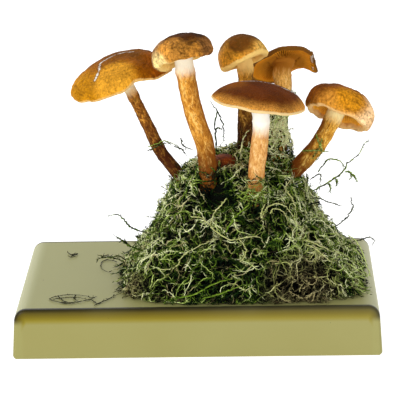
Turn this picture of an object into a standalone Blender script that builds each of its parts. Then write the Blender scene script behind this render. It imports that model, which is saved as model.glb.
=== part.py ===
"""Sheathed woodtuft mushrooms growing out of a mound of moss on a moulded display base.

Frame: origin at the middle of the base's underside, +X to the right, +Y to the back, +Z up.
All driving dimensions are in millimetres and are turned into metres by MM.
"""

import math

import bmesh
import bpy
from mathutils import Matrix, Vector, noise

MM = 0.001
GAP = 0.3  # clearance between pieces that touch

# Base: a moulded block with drafted sides, ends that are well rounded along the top and a
# smaller rounding round its front and its back
BASE_WIDTH = 180.0
BASE_DEPTH = 120.0
BASE_HEIGHT = 24.5
BASE_DRAFT = 0.057  # inset of each side per unit of height
BASE_END_RADIUS = 6.0
BASE_END_STEPS = 5
BASE_FOOT_RADIUS = 1.4
BASE_FOOT_STEPS = 2
BASE_EDGE_RADIUS = 1.8
BASE_EDGE_STEPS = 2

# Moss mound: squarish footprint, flat bottom, steep sides and a blunt top
MOSS_FOOT_CENTRE = (22.4, -1.0)
MOSS_TOP_CENTRE = (21.6, 6.0)
MOSS_HALF_WIDTH = 61.0
MOSS_HALF_DEPTH = 53.0
MOSS_HEIGHT = 62.0
MOSS_CROWN = 1.2  # rise of the middle over the last ring
MOSS_SQUARENESS = 4.2  # power of the footprint's outline: 2 is an ellipse
# Share of the half size at each share of the height
MOSS_PROFILE = (
    (0.0, 0.97),
    (0.10, 1.0),
    (0.25, 0.89),
    (0.45, 0.745),
    (0.65, 0.61),
    (0.82, 0.48),
    (0.94, 0.35),
    (1.0, 0.16),
)
MOSS_SECTORS = 44
MOSS_RINGS = 11
MOSS_CLUMP_HEIGHT = 2.2
MOSS_CLUMP_SIZE = 13.0
MOSS_SMALL_CLUMPS = 0.45  # size and strength of the small clumps against the big ones
MOSS_SETTLE = 0.6  # how far the surface sinks before the clumps are added
# Hollows and tufts of the mound: (x, y, z, reach, rise)
MOSS_SWELLINGS = (
    (43.0, 14.0, 84.0, 10.0, 10.0),
    (14.0, -2.0, 84.0, 13.0, -5.0),
    (13.0, -19.0, 76.0, 9.0, -1.5),
    (3.0, -17.0, 72.0, 10.0, 3.0),
    (29.0, -25.0, 73.0, 12.0, 5.0),
)

# The moss that climbs the back mushroom's stem: (share of the stem's length, thickness)
MOSS_SLEEVE_ON = "back"
MOSS_SLEEVE = ((0.40, 1.0), (0.50, 1.8), (0.60, 1.6), (0.72, 2.6), (0.86, 4.5))

# Single strands that stand out of the mound, each from its foot to its tip
STRAND_SIDES = 6
STRAND_RINGS = 9
STRANDS = {
    "right": {
        "line": ((57.0, 4.0, 64.5), (62.9, 4.0, 68.1), (68.8, 4.0, 71.7), (72.8, 4.0, 74.5), (75.9, 4.0, 79.7),
                 (80.8, 4.0, 83.8), (84.2, 4.0, 89.5), (86.2, 4.0, 91.2)),
        "radii": (0.7, 0.6, 0.5, 0.35),
    },
    "left": {
        "line": ((-26.0, 0.0, 46.0), (-31.7, 0.0, 47.5), (-35.0, 0.0, 49.6), (-36.9, 0.0, 52.6),
                 (-39.2, 0.0, 54.9), (-42.1, 0.0, 55.4), (-45.6, 0.0, 54.0)),
        "radii": (0.65, 0.55, 0.5, 0.35),
    },
    "forked": {
        "line": ((9.2, 10.0, 76.0), (9.6, 10.0, 83.2), (9.6, 10.0, 90.2), (9.2, 10.0, 99.0), (10.3, 10.0, 105.7),
                 (8.3, 10.0, 109.2), (5.7, 10.0, 112.5)),
        "radii": (0.6, 0.5, 0.5, 0.35),
    },
    "pale": {
        "line": ((25.1, -4.0, 72.0), (24.6, -4.0, 78.0), (22.6, -4.0, 84.0), (22.2, -4.0, 88.5),
                 (23.4, -4.0, 94.0), (26.0, -4.0, 99.4)),
        "radii": (1.2, 1.2, 1.1, 0.7),
    },
}

# Caps: spun from a dome profile, then stretched and bent at the margin
CAP_SECTORS = 36
CAP_SKIN_RINGS = 6
# Underside: (share of the way from the stem to the margin, height of the gill ridges)
GILL_RINGS = ((0.72, 0.5), (0.5, 0.8), (0.3, 0.8))
GILL_ARCH = 0.75  # power of the underside's curve
SEAT_LEDGE = 0.8  # flat ring around the stem's end

# Stems: tubes along a smooth curve
STEM_SIDES = 12
STEM_RINGS = 9
STEM_TURN_SHARE = 0.2  # share of the length over which the stem turns into the cap's axis
VEIL_RIDGE = 0.35  # the ridge left by the torn veil
VEIL_AT = 0.25  # its place, as a share of the length below the cap
VEIL_REACH = 0.05

# Each mushroom: the stem's centre line from the cap down, its radii along that line, and
# the cap. lean is towards the front and towards the right, in degrees. crown is the dome's
# height over its widest ring, hollow the depth of the underside over that ring, turn the
# angle of the dome's arc from crown to margin, and lip the radius of the rolled margin. reach and hang are the margin's distance
# from the stem and its rise at eight points: right, back right, back, back left, left,
# front left, front, front right. lobes are (angle, half width, rise, extra reach).
MUSHROOMS = {
    "left": {
        "line": ((-36.5, 12.0, 125.0), (-33.2, 12.0, 117.5), (-29.6, 12.0, 109.6), (-24.3, 11.0, 98.3),
                 (-18.5, 9.0, 86.3), (-12.5, 7.5, 78.0), (-5.0, 5.0, 69.0)),
        "radii": (3.3, 3.0, 2.8, 3.0, 3.1, 3.1, 3.0),
        "lean": (4.0, -15.0), "crown": 13.0, "hollow": 2.5, "turn": 97.0, "lip": 0.8,
        "reach": (21.0, 22.0, 24.5, 27.0, 28.0, 26.0, 22.5, 21.0),
        "hang": (0.0, 1.0, 0.5, -1.0, -0.5, -0.5, 1.0, 0.0),
        "lobes": ((-8.0, 20.0, -0.5, 4.5), (-66.0, 29.0, 3.5, 0.0)),
    },
    "tall": {
        "line": ((-6.5, -13.0, 142.2), (-5.1, -13.0, 137.6), (-4.4, -13.0, 131.6), (-2.4, -13.0, 119.4),
                 (0.1, -13.0, 108.4), (3.8, -13.0, 97.3), (5.6, -12.5, 86.1), (5.8, -11.5, 76.0),
                 (6.0, -9.0, 66.0)),
        "radii": (5.2, 4.7, 4.5, 4.5, 4.6, 4.6, 4.5, 4.2, 4.0),
        "lean": (-17.0, -14.0), "crown": 11.0, "hollow": 2.5, "turn": 110.0, "lip": 2.2,
        "reach": (16.0, 15.5, 15.0, 15.0, 15.0, 16.0, 16.5, 16.0),
        "hang": (1.0, 2.5, 1.0, -2.0, 0.0, 0.5, 0.5, -0.5),
        "lobes": (),
    },
    "bell": {
        "line": ((22.7, 8.0, 135.9), (24.6, 8.0, 130.5), (25.1, 8.0, 122.5), (24.8, 8.0, 107.0),
                 (24.4, 8.0, 94.0), (24.1, 7.5, 82.0), (24.0, 6.5, 71.0)),
        "radii": (5.6, 4.3, 3.8, 3.8, 3.9, 4.0, 3.8),
        "lean": (-22.0, -25.0), "crown": 13.0, "hollow": 3.5, "turn": 102.0, "lip": 1.6,
        "reach": (13.0, 12.5, 12.0, 11.5, 12.0, 13.0, 13.0, 13.5),
        "hang": (-0.5, 0.0, 1.0, 2.5, 1.5, -1.0, -1.5, -0.5),
        "lobes": (),
    },
    "back": {
        "line": ((44.5, 30.0, 126.0), (43.6, 27.0, 121.6), (43.8, 24.5, 112.8), (41.6, 20.5, 99.3),
                 (40.9, 16.0, 83.7), (40.5, 12.5, 71.0)),
        "radii": (5.8, 4.9, 4.3, 4.2, 4.2, 4.0),
        "lean": (-38.0, -7.0), "crown": 8.5, "hollow": 4.5, "turn": 72.0, "lip": 0.9,
        "reach": (16.0, 17.0, 17.5, 19.5, 19.5, 17.5, 17.0, 16.5),
        "hang": (2.5, 2.0, 0.0, -1.0, -1.5, -0.5, 2.0, 3.0),
        "lobes": ((25.0, 25.0, -4.5, 1.5), (70.0, 40.0, 5.0, -0.5)),
    },
    "front": {
        "line": ((31.5, -24.0, 117.9), (32.4, -24.0, 112.0), (32.4, -24.0, 105.4), (31.2, -24.0, 94.3),
                 (29.9, -23.0, 82.9), (29.3, -22.0, 76.0), (28.8, -20.0, 66.0)),
        "radii": (5.2, 4.2, 4.1, 4.1, 4.0, 3.8, 3.6),
        "lean": (-1.0, 8.0), "crown": 12.0, "hollow": 2.0, "turn": 80.0, "lip": 0.8,
        "reach": (23.0, 23.0, 23.0, 23.0, 23.5, 23.5, 23.0, 23.0),
        "hang": (0.0, 0.5, 0.5, 0.0, 0.0, 0.5, 0.5, -0.5),
        "lobes": (),
    },
    "right": {
        "line": ((72.8, 0.0, 111.7), (69.6, 0.0, 106.6), (65.3, 0.0, 97.9), (59.8, 1.0, 89.0),
                 (53.2, 2.0, 81.0), (47.5, 3.0, 75.0), (41.0, 4.0, 69.0)),
        "radii": (5.2, 4.4, 4.1, 4.1, 4.2, 4.2, 4.0),
        "lean": (-20.0, 22.0), "crown": 12.0, "hollow": 3.5, "turn": 117.0, "lip": 1.5,
        "reach": (18.0, 17.5, 17.0, 17.0, 17.5, 17.5, 17.5, 18.0),
        "hang": (-1.0, -2.0, -2.0, -1.0, 1.0, 3.0, 2.5, 1.0),
        "lobes": ((96.0, 24.0, 2.5, 0.5),),
    },
}

# The young button that pushes up between the tall and the bell mushroom
BUTTON_CENTRE = (13.8, 0.8, 81.4)
BUTTON_RADIUS = 7.4
BUTTON_HEIGHT = 4.8
BUTTON_SEGMENTS = 16
BUTTON_RINGS = 8

SHARP_ANGLE = 40.0

# Finish of each piece: material name, colour, roughness
OLIVE_PLASTIC = ("base_plastic", (0.40, 0.38, 0.16), 0.35)
MOSS_GREEN = ("moss", (0.12, 0.16, 0.04), 0.9)
CAP_BROWN = ("cap_skin", (0.45, 0.22, 0.05), 0.5)
STEM_OCHRE = ("stem_flesh", (0.55, 0.30, 0.10), 0.7)


def clear_scene():
    for obj in list(bpy.data.objects):
        bpy.data.objects.remove(obj)


def material(piece, finish):
    name, colour, roughness = finish
    made = bpy.data.materials.new(f"{name}_{piece}")
    made.use_nodes = True
    shader = made.node_tree.nodes["Principled BSDF"]
    shader.inputs["Base Color"].default_value = (*colour, 1.0)
    shader.inputs["Roughness"].default_value = roughness
    shader.inputs["Metallic"].default_value = 0.0
    return made


def finish_object(name, shape, finish):
    """Turns a bmesh in millimetres into a named object in metres."""
    bmesh.ops.scale(shape, vec=(MM, MM, MM), verts=shape.verts)
    bmesh.ops.recalc_face_normals(shape, faces=shape.faces)
    mesh = bpy.data.meshes.new(name)
    shape.to_mesh(mesh)
    shape.free()
    mesh.shade_smooth()
    mesh.set_sharp_from_angle(angle=math.radians(SHARP_ANGLE))
    mesh.materials.append(material(name, finish))
    obj = bpy.data.objects.new(name, mesh)
    bpy.context.collection.objects.link(obj)
    return obj


def curve_between(before, start, end, after, t):
    """Point or number on a smooth curve from start to end, which passes through all four."""
    bend = 2 * before - 5 * start + 4 * end - after + t * (3 * (start - end) + after - before)
    return start + 0.5 * t * (end - before + t * bend)


def along(points, share):
    """Value at a share of an open row of points or numbers."""
    place = min(max(share, 0.0), 1.0) * (len(points) - 1)
    i = min(int(place), len(points) - 2)
    before = points[i - 1] if i else 2 * points[0] - points[1]
    after = points[i + 2] if i + 2 < len(points) else 2 * points[-1] - points[-2]
    return curve_between(before, points[i], points[i + 1], after, place - i)


def around(values, angle):
    """Value at an angle of a closed row of evenly spaced numbers."""
    count = len(values)
    place = (angle / math.tau * count) % count
    i = int(place)
    return curve_between(*(values[(i + k) % count] for k in (-1, 0, 1, 2)), place - i)


def spun(profile, sectors):
    """Closed shape: a (radius, height) profile that starts and ends on Z, turned about Z."""
    shape = bmesh.new()
    row = [shape.verts.new((radius, 0.0, height)) for radius, height in profile]
    edges = [shape.edges.new(pair) for pair in zip(row, row[1:])]
    bmesh.ops.spin(
        shape, geom=row + edges, cent=(0, 0, 0), axis=(0, 0, 1), angle=math.tau, steps=sectors, use_merge=True
    )
    bmesh.ops.remove_doubles(shape, verts=shape.verts, dist=1e-4)
    return shape


# Base

def base_outline():
    """Points (x, z) of the right half of the front, from the foot up to the lid, and where each faces."""
    tilt = math.atan(BASE_DRAFT)
    foot, end = BASE_FOOT_RADIUS, BASE_END_RADIUS
    arcs = (
        (BASE_WIDTH / 2 - foot, foot, foot, -math.pi / 2, -tilt / 2, BASE_FOOT_STEPS),
        (BASE_WIDTH / 2 - BASE_DRAFT * (BASE_HEIGHT - end) - end, BASE_HEIGHT - end, end, tilt, math.pi / 2,
         BASE_END_STEPS),
    )
    points = []
    for x, z, radius, start, stop, steps in arcs:
        for i in range(steps + 1):
            angle = start + (stop - start) * i / steps
            points.append((x + radius * math.cos(angle), z + radius * math.sin(angle), math.cos(angle), math.sin(angle)))
    return points


def build_base():
    right = base_outline()
    outline = right + [(-x, z, -across, up) for x, z, across, up in reversed(right)]
    quarter = [math.pi / 2 * i / BASE_EDGE_STEPS for i in range(BASE_EDGE_STEPS + 1)]
    front = [(BASE_EDGE_RADIUS * (1 - math.sin(angle)), BASE_DEPTH / 2 - BASE_EDGE_RADIUS * (1 - math.cos(angle)))
             for angle in quarter]
    rings = [(inset, -away) for inset, away in front] + [(inset, away) for inset, away in reversed(front)]
    shape = bmesh.new()
    loops = []
    for inset, y in rings:
        ring = []
        for x, z, across, up in outline:
            rise = z - inset * max(up, 0.0)
            ring.append(shape.verts.new((x - inset * across, y * (1 - BASE_DRAFT * rise / (BASE_DEPTH / 2)), rise)))
        loops.append([shape.edges.new(pair) for pair in zip(ring, ring[1:] + ring[:1])])
    for before, after in zip(loops, loops[1:]):
        bmesh.ops.bridge_loops(shape, edges=before + after)
    bmesh.ops.edgeloop_fill(shape, edges=loops[0])
    bmesh.ops.edgeloop_fill(shape, edges=loops[-1])
    return finish_object("base", shape, OLIVE_PLASTIC)


# Moss

def moss_share(height):
    """Share of the mound's half size at a share of its height."""
    for (low, wide), (high, narrow) in zip(MOSS_PROFILE, MOSS_PROFILE[1:]):
        if height <= high:
            return wide + (narrow - wide) * (height - low) / (high - low)
    return MOSS_PROFILE[-1][1]


def square_reach(angle):
    """Distance from the middle of a square with rounded corners to its outline."""
    across, deep = abs(math.cos(angle)), abs(math.sin(angle))
    return (across ** MOSS_SQUARENESS + deep ** MOSS_SQUARENESS) ** (-1 / MOSS_SQUARENESS)


def clumps(place):
    """Height of the clumps of moss at a place on the mound."""
    big = noise.noise(place / MOSS_CLUMP_SIZE)
    small = noise.noise(place / (MOSS_CLUMP_SIZE * MOSS_SMALL_CLUMPS))
    return MOSS_CLUMP_HEIGHT * (big + MOSS_SMALL_CLUMPS * small) - MOSS_SETTLE


def build_moss():
    foot = BASE_HEIGHT + GAP
    heights = [i / MOSS_RINGS for i in range(MOSS_RINGS + 1)]
    side = [(moss_share(height), height * MOSS_HEIGHT) for height in heights]
    shape = spun([(0.0, 0.0)] + side + [(0.0, MOSS_HEIGHT + MOSS_CROWN)], MOSS_SECTORS)
    for v in shape.verts:
        share = min(v.co.z / MOSS_HEIGHT, 1.0)
        angle = math.atan2(v.co.y, v.co.x)
        reach = math.hypot(v.co.x, v.co.y) * (square_reach(angle) * (1 - share) + share)
        middle = Vector(MOSS_FOOT_CENTRE).lerp(Vector(MOSS_TOP_CENTRE), share)
        v.co.x = middle.x + reach * MOSS_HALF_WIDTH * math.cos(angle)
        v.co.y = middle.y + reach * MOSS_HALF_DEPTH * math.sin(angle)
        v.co.z += foot
    bmesh.ops.recalc_face_normals(shape, faces=shape.faces)
    shape.normal_update()
    upper = [v for v in shape.verts if v.co.z > foot + GAP]
    moved = []
    for v in upper:
        place = v.co + v.normal * clumps(v.co)
        for x, y, z, reach, rise in MOSS_SWELLINGS:
            away = (v.co - Vector((x, y, z))).length / reach
            place.z += rise * max(0.0, 1 - away * away) ** 2
        moved.append(place)
    for v, place in zip(upper, moved):
        v.co = place
    return finish_object("moss_mound", shape, MOSS_GREEN)


# Caps

def cap_axes(mushroom):
    """Turn of a cap: +Z out of the top of its dome."""
    front, right = (math.radians(angle) for angle in mushroom["lean"])
    return Matrix.Rotation(right, 3, "Y") @ Matrix.Rotation(front, 3, "X")


def cap_profile(mushroom, mean, seat):
    """Rows of (radius share, height): the skin from crown to margin, its rolled lip, then the gills inwards."""
    turn, lip = math.radians(mushroom["turn"]), mushroom["lip"]
    widest = math.sin(min(turn, math.pi / 2))
    pace = Vector((mean * math.cos(turn) / widest, mushroom["crown"] * math.sin(turn))).length
    turn -= lip / pace
    skin = []
    for i in range(CAP_SKIN_RINGS + 1):
        angle = turn * i / CAP_SKIN_RINGS
        skin.append((math.sin(angle) / widest, mushroom["crown"] * math.cos(angle) - mushroom["hollow"]))
    down = Vector((mean * math.cos(turn) / widest, -mushroom["crown"] * math.sin(turn))).normalized()
    inwards = Vector((down.y, -down.x))
    edge = Vector((skin[-1][0] * mean, skin[-1][1]))
    lowest, inner = edge + (down + inwards) * lip, edge + inwards * 2 * lip
    skin += [(lowest.x / mean, lowest.y), (inner.x / mean, inner.y)]
    gills = []
    for share, _ in GILL_RINGS:
        drop = 1 - (1 - share) ** GILL_ARCH
        gills.append((seat + (inner.x / mean - seat) * share, inner.y * drop))
    return skin, gills


def margin_rise(mushroom, angle):
    """Rise and extra reach of the margin at an angle."""
    rise, more = around(mushroom["hang"], angle), 0.0
    for centre, half_width, lobe_rise, lobe_reach in mushroom["lobes"]:
        off = ((math.degrees(angle) - centre + 180) % 360 - 180) / half_width
        swell = max(0.0, 1 - off * off) ** 2
        rise += lobe_rise * swell
        more += lobe_reach * swell
    return rise, more


def build_cap(name, mushroom):
    mean = sum(mushroom["reach"]) / len(mushroom["reach"])
    seat = (mushroom["radii"][0] + SEAT_LEDGE) / mean
    skin, gills = cap_profile(mushroom, mean, seat)
    shape = spun(skin + gills + [(seat, 0.0), (0.0, 0.0)], CAP_SECTORS)
    reliefs = {round(height, 3): relief for (_, height), (_, relief) in zip(gills, GILL_RINGS)}
    for v in shape.verts:
        radius = math.hypot(v.co.x, v.co.y)
        if radius < 1e-5:
            continue
        angle = math.atan2(v.co.y, v.co.x)
        sector = round(angle / math.tau * CAP_SECTORS)
        rise, more = margin_rise(mushroom, angle)
        v.co.z += (sector % 2) * reliefs.get(round(v.co.z, 3), 0.0)
        edge = min(radius, 1.0) ** 2
        reach = mean + (around(mushroom["reach"], angle) + more - mean) * edge
        v.co.x *= reach
        v.co.y *= reach
        outward = max(0.0, (radius - seat) / (1 - seat))
        v.co.z += rise * outward * outward
    turn = Matrix.Translation(mushroom["line"][0]) @ cap_axes(mushroom).to_4x4()
    bmesh.ops.transform(shape, matrix=turn, verts=shape.verts)
    return finish_object(name, shape, CAP_BROWN)


# Stems

def stem_rings(mushroom):
    """Centre, radius and upward direction of each ring from just under the cap downwards."""
    points = [Vector(point) for point in mushroom["line"]]
    cap_up = cap_axes(mushroom) @ Vector((0, 0, 1))
    rings = []
    for i in range(STEM_RINGS + 1):
        share = i / STEM_RINGS
        centre = along(points, share)
        up = (along(points, share - 0.01) - along(points, share + 0.01)).normalized()
        up = up.lerp(cap_up, max(0.0, 1 - share / STEM_TURN_SHARE)).normalized()
        ridge = VEIL_RIDGE * max(0.0, 1 - abs(share - VEIL_AT) / VEIL_REACH)
        rings.append((centre, along(mushroom["radii"], share) + ridge, up))
    top, radius, up = rings[0]
    rings[0] = (top - up * GAP, radius, up)
    return rings


def ring_frame(centre, up):
    side = (Vector((1, 0, 0)) - up * up.x).normalized()
    axes = Matrix((side, up.cross(side), up)).transposed()
    return Matrix.Translation(centre) @ axes.to_4x4()


def tube(rings, extra=0.0, sides=STEM_SIDES):
    """Closed tube through the rings, fattened by extra."""
    shape = bmesh.new()
    loops = []
    for centre, radius, up in rings:
        made = bmesh.ops.create_circle(
            shape, radius=radius + extra, segments=sides, matrix=ring_frame(centre, up)
        )["verts"]
        loops.append((made, list({edge for v in made for edge in v.link_edges})))
    for (_, above), (_, below) in zip(loops, loops[1:]):
        bmesh.ops.bridge_loops(shape, edges=above + below)
    shape.faces.new(loops[0][0])
    shape.faces.new(loops[-1][0])
    return shape


def pocket_rings(rings):
    """The rings of a stem, run on a little so that its pocket is deeper than its foot."""
    foot, radius, up = rings[-1]
    return rings + [(foot - up * 2 * GAP, radius, up)]


def change_moss(moss, name, shape, operation):
    """Joins a shape to the moss, or cuts it out of the moss."""
    guide = finish_object(name, shape, MOSS_GREEN)
    guide.hide_render = True
    guide.display_type = "WIRE"
    change = moss.modifiers.new(name, "BOOLEAN")
    change.operation = operation
    change.solver = "EXACT"
    change.object = guide


def sleeve_rings():
    """Rings of the moss around a stem, from its upper edge down into the mound."""
    mushroom = MUSHROOMS[MOSS_SLEEVE_ON]
    points = [Vector(point) for point in mushroom["line"]]
    rings = []
    for share, thickness in MOSS_SLEEVE:
        up = (along(points, share - 0.01) - along(points, share + 0.01)).normalized()
        rings.append((along(points, share), along(mushroom["radii"], share) + thickness, up))
    return rings


# Strands

def strand_rings(strand):
    """Centre, radius and upward direction of each ring, from the tip down to the foot."""
    points = [Vector(point) for point in strand["line"]]
    rings = []
    for i in range(STRAND_RINGS, -1, -1):
        share = i / STRAND_RINGS
        up = (along(points, share + 0.01) - along(points, share - 0.01)).normalized()
        rings.append((along(points, share), along(strand["radii"], share), up))
    return rings


# Young button

def button_shape(extra):
    shape = bmesh.new()
    bmesh.ops.create_uvsphere(shape, u_segments=BUTTON_SEGMENTS, v_segments=BUTTON_RINGS, radius=1.0)
    across, up = BUTTON_RADIUS + extra, BUTTON_HEIGHT + extra
    bmesh.ops.scale(shape, vec=(across, across, up), verts=shape.verts)
    bmesh.ops.translate(shape, vec=BUTTON_CENTRE, verts=shape.verts)
    return shape


def main():
    clear_scene()
    build_base()
    moss = build_moss()
    change_moss(moss, "moss_sleeve", tube(sleeve_rings()), "UNION")
    for name, mushroom in MUSHROOMS.items():
        build_cap(f"cap_{name}", mushroom)
        rings = stem_rings(mushroom)
        finish_object(f"stem_{name}", tube(rings), STEM_OCHRE)
        change_moss(moss, f"pocket_stem_{name}", tube(pocket_rings(rings), GAP), "DIFFERENCE")
    finish_object("young_button", button_shape(0.0), CAP_BROWN)
    change_moss(moss, "pocket_young_button", button_shape(GAP), "DIFFERENCE")
    for name, strand in STRANDS.items():
        rings = strand_rings(strand)
        finish_object(f"moss_strand_{name}", tube(rings, sides=STRAND_SIDES), MOSS_GREEN)
        room = tube(pocket_rings(rings), GAP, STRAND_SIDES)
        change_moss(moss, f"pocket_strand_{name}", room, "DIFFERENCE")


main()
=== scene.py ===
import math

import bmesh
import bpy
import numpy as np
from mathutils import Matrix, Vector, noise
from mathutils.bvhtree import BVHTree


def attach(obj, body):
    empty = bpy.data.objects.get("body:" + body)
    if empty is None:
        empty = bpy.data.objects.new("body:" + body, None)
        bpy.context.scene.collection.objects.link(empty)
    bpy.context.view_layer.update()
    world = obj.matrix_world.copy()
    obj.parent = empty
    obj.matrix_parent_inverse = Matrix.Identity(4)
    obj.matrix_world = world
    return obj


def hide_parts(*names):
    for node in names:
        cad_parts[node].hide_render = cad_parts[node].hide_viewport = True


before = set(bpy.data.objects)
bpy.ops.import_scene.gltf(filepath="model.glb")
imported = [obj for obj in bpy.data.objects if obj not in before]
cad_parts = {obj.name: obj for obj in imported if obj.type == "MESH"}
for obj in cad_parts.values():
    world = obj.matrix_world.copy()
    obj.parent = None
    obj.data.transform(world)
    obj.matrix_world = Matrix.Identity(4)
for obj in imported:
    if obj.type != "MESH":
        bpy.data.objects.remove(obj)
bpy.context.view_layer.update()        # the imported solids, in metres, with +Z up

mm = 0.001  # pieces are modelled in millimetres and turned into metres when they are finished

# Studio: camera, floor and light
studio = {
    "target": (1.3, 0.0, 62.5),  # what the camera looks at
    "azimuth": 1.37,
    "elevation": 15.69,
    "roll": -1.1,
    "distance": 1250.0,
    "lens": 223.7,
    "floorSize": 6000.0,
    "floorDrop": 0.1,  # keeps the floor just clear of the underside
    "floorColour": 0.3,
    "floorGlow": 1.0,  # the floor is a lit white table
    "skyFront": 0.45,  # brightness of the room in front of the object, behind it and above it
    "skyBack": 1.25,
    "skyTop": 0.35,
    "lamps": {  # place, aim, size and power
        "softbox_back": ((-300.0, 650.0, 800.0), (10.0, 0.0, 60.0), 700.0, 3.0),
        "softbox_left": ((-700.0, -800.0, 600.0), (10.0, 0.0, 70.0), 350.0, 6.0),
        "softbox_low": ((450.0, -1000.0, 250.0), (10.0, 0.0, 60.0), 400.0, 3.0),
    },
}


def paint(red, green, blue):  # a display colour, 0 to 255, as the colour that a shader takes
    parts = [part / 255 for part in (red, green, blue)]
    return (*(part / 12.92 if part < 0.04 else ((part + 0.055) / 1.055) ** 2.4 for part in parts), 1.0)


def dimmed(colour, share):
    return (*(share * part for part in colour[:3]), 1.0)


def newObject(name, data):
    made = bpy.data.objects.new(name, data)
    bpy.context.scene.collection.objects.link(made)
    return made


def buildCamera():
    turn, lift, roll = (math.radians(studio[key]) for key in ("azimuth", "elevation", "roll"))
    back = Vector((math.sin(turn) * math.cos(lift), -math.cos(turn) * math.cos(lift), math.sin(lift)))
    level = Vector((math.cos(turn), math.sin(turn), 0.0))
    rise = back.cross(level)
    right = level * math.cos(roll) + rise * math.sin(roll)
    up = rise * math.cos(roll) - level * math.sin(roll)
    lens = bpy.data.cameras.new("camera")
    lens.lens = studio["lens"]
    camera = newObject("camera", lens)
    place = (Vector(studio["target"]) + back * studio["distance"]) * mm
    camera.matrix_world = Matrix.Translation(place) @ Matrix((right, up, back)).transposed().to_4x4()
    bpy.context.scene.camera = camera


buildCamera()
print("camera placed")


# Shader maths
class Wire:  # a socket of a node tree; operators on it add the nodes
    def __init__(self, tree, socket=None):
        self.tree = tree
        self.socket = socket

    def node(self, kind, settings=None, sockets=None, output=0):
        made = self.tree.nodes.new("ShaderNode" + kind)
        for name, value in (settings or {}).items():
            if name == "stops":
                fillRamp(made.color_ramp, value)
            else:
                setattr(made, name, value)
        for name, value in (sockets or {}).items():
            if isinstance(value, Wire):
                self.tree.links.new(value.socket, made.inputs[name])
            else:
                made.inputs[name].default_value = value
        return Wire(self.tree, made.outputs[output] if len(made.outputs) else None)

    def maths(self, operation, first, second=0.0):
        return self.node("Math", {"operation": operation}, {0: first, 1: second})

    def __add__(self, other):
        return self.maths("ADD", self, other)

    def __radd__(self, other):
        return self.maths("ADD", other, self)

    def __sub__(self, other):
        return self.maths("SUBTRACT", self, other)

    def __rsub__(self, other):
        return self.maths("SUBTRACT", other, self)

    def __mul__(self, other):
        return self.maths("MULTIPLY", self, other)

    def __rmul__(self, other):
        return self.maths("MULTIPLY", other, self)

    def __abs__(self):
        return self.maths("ABSOLUTE", self)

    def between(self, low, high):  # 0 below low, 1 above high, smooth between them
        return self.node("MapRange", {"interpolation_type": "SMOOTHSTEP"}, {0: self, 1: low, 2: high})

    def mix(self, low, high):  # colour between two, with this as the factor
        return self.node("Mix", {"data_type": "RGBA"}, {0: self, 6: low, 7: high}, 2)

    def place(self):
        return self.node("TexCoord", output="Object")

    def axis(self, letter):
        return self.node("SeparateXYZ", None, {0: self}, letter)

    def atLeast(self, low):
        return self.maths("MAXIMUM", self, low)

    def value(self, name):
        return self.node("Attribute", {"attribute_name": name}, output="Fac")

    def noise(self, place, size, detail=3.0, rough=0.5, twist=0.0):  # size in millimetres
        sockets = {
            "Vector": place, "Scale": 1 / (size * mm), "Detail": detail, "Roughness": rough,
            "Distortion": twist,
        }
        return self.node("TexNoise", None, sockets)

    def spot(self, place, centre, reach):  # 1 at a point in millimetres, 0 beyond its reach
        point = tuple(part * mm for part in centre)
        away = self.node("VectorMath", {"operation": "DISTANCE"}, {0: place, 1: point}, "Value")
        return 1 - away.between(0.3 * reach * mm, reach * mm)

    def bump(self, height, strength, distance):  # distance in millimetres
        return self.node("Bump", None, {"Strength": strength, "Distance": distance * mm, "Height": height})


def fillRamp(ramp, stops):
    while len(ramp.elements) < len(stops):
        ramp.elements.new(0.5)
    for element, (position, colour) in zip(ramp.elements, stops):
        element.position = position
        element.color = colour


def newMaterial(name):
    made = bpy.data.materials.new(name)
    made.use_nodes = True
    made.node_tree.nodes.clear()
    return made, Wire(made.node_tree)


def closeMaterial(start, **sockets):
    named = {name.replace("_", " "): value for name, value in sockets.items()}
    shader = start.node("BsdfPrincipled", None, named)
    start.node("OutputMaterial", None, {"Surface": shader})


def meshFrom(name, shape):  # a shape in millimetres as a mesh in metres
    bmesh.ops.scale(shape, vec=(mm, mm, mm), verts=shape.verts)
    mesh = bpy.data.meshes.new(name)
    shape.to_mesh(mesh)
    shape.free()
    return mesh


def finishPiece(name, shape, material, nodes=()):
    mesh = meshFrom(name, shape) if isinstance(shape, bmesh.types.BMesh) else shape
    mesh.shade_smooth()
    mesh.materials.append(material)
    piece = newObject(name, mesh)
    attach(piece, "root")
    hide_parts(*nodes)
    return piece


# Rows of points and numbers
def curveBetween(before, start, end, after, t):
    bend = 2 * before - 5 * start + 4 * end - after + t * (3 * (start - end) + after - before)
    return start + 0.5 * t * (end - before + t * bend)


def along(points, share):  # value at a share of an open row
    place = min(max(share, 0.0), 1.0) * (len(points) - 1)
    i = min(int(place), len(points) - 2)
    before = points[i - 1] if i else 2 * points[0] - points[1]
    after = points[i + 2] if i + 2 < len(points) else 2 * points[-1] - points[-2]
    return curveBetween(before, points[i], points[i + 1], after, place - i)


def around(values, angle):  # value at an angle of a closed row of evenly spaced numbers
    place = (angle / math.tau * len(values)) % len(values)
    i = int(place)
    return curveBetween(*(values[(i + k) % len(values)] for k in (-1, 0, 1, 2)), place - i)


def smooth(value, low, high):
    share = min(max((value - low) / (high - low), 0.0), 1.0)
    return share * share * (3 - 2 * share)


def turnRow(shape, row, steps):  # turns a row of vertices that starts and ends on Z about Z
    edges = [shape.edges.new(pair) for pair in zip(row, row[1:])]
    bmesh.ops.spin(
        shape, geom=row + edges, cent=(0, 0, 0), axis=(0, 0, 1), angle=math.tau, steps=steps, use_merge=True,
    )
    bmesh.ops.remove_doubles(shape, verts=shape.verts, dist=1e-4)


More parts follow.
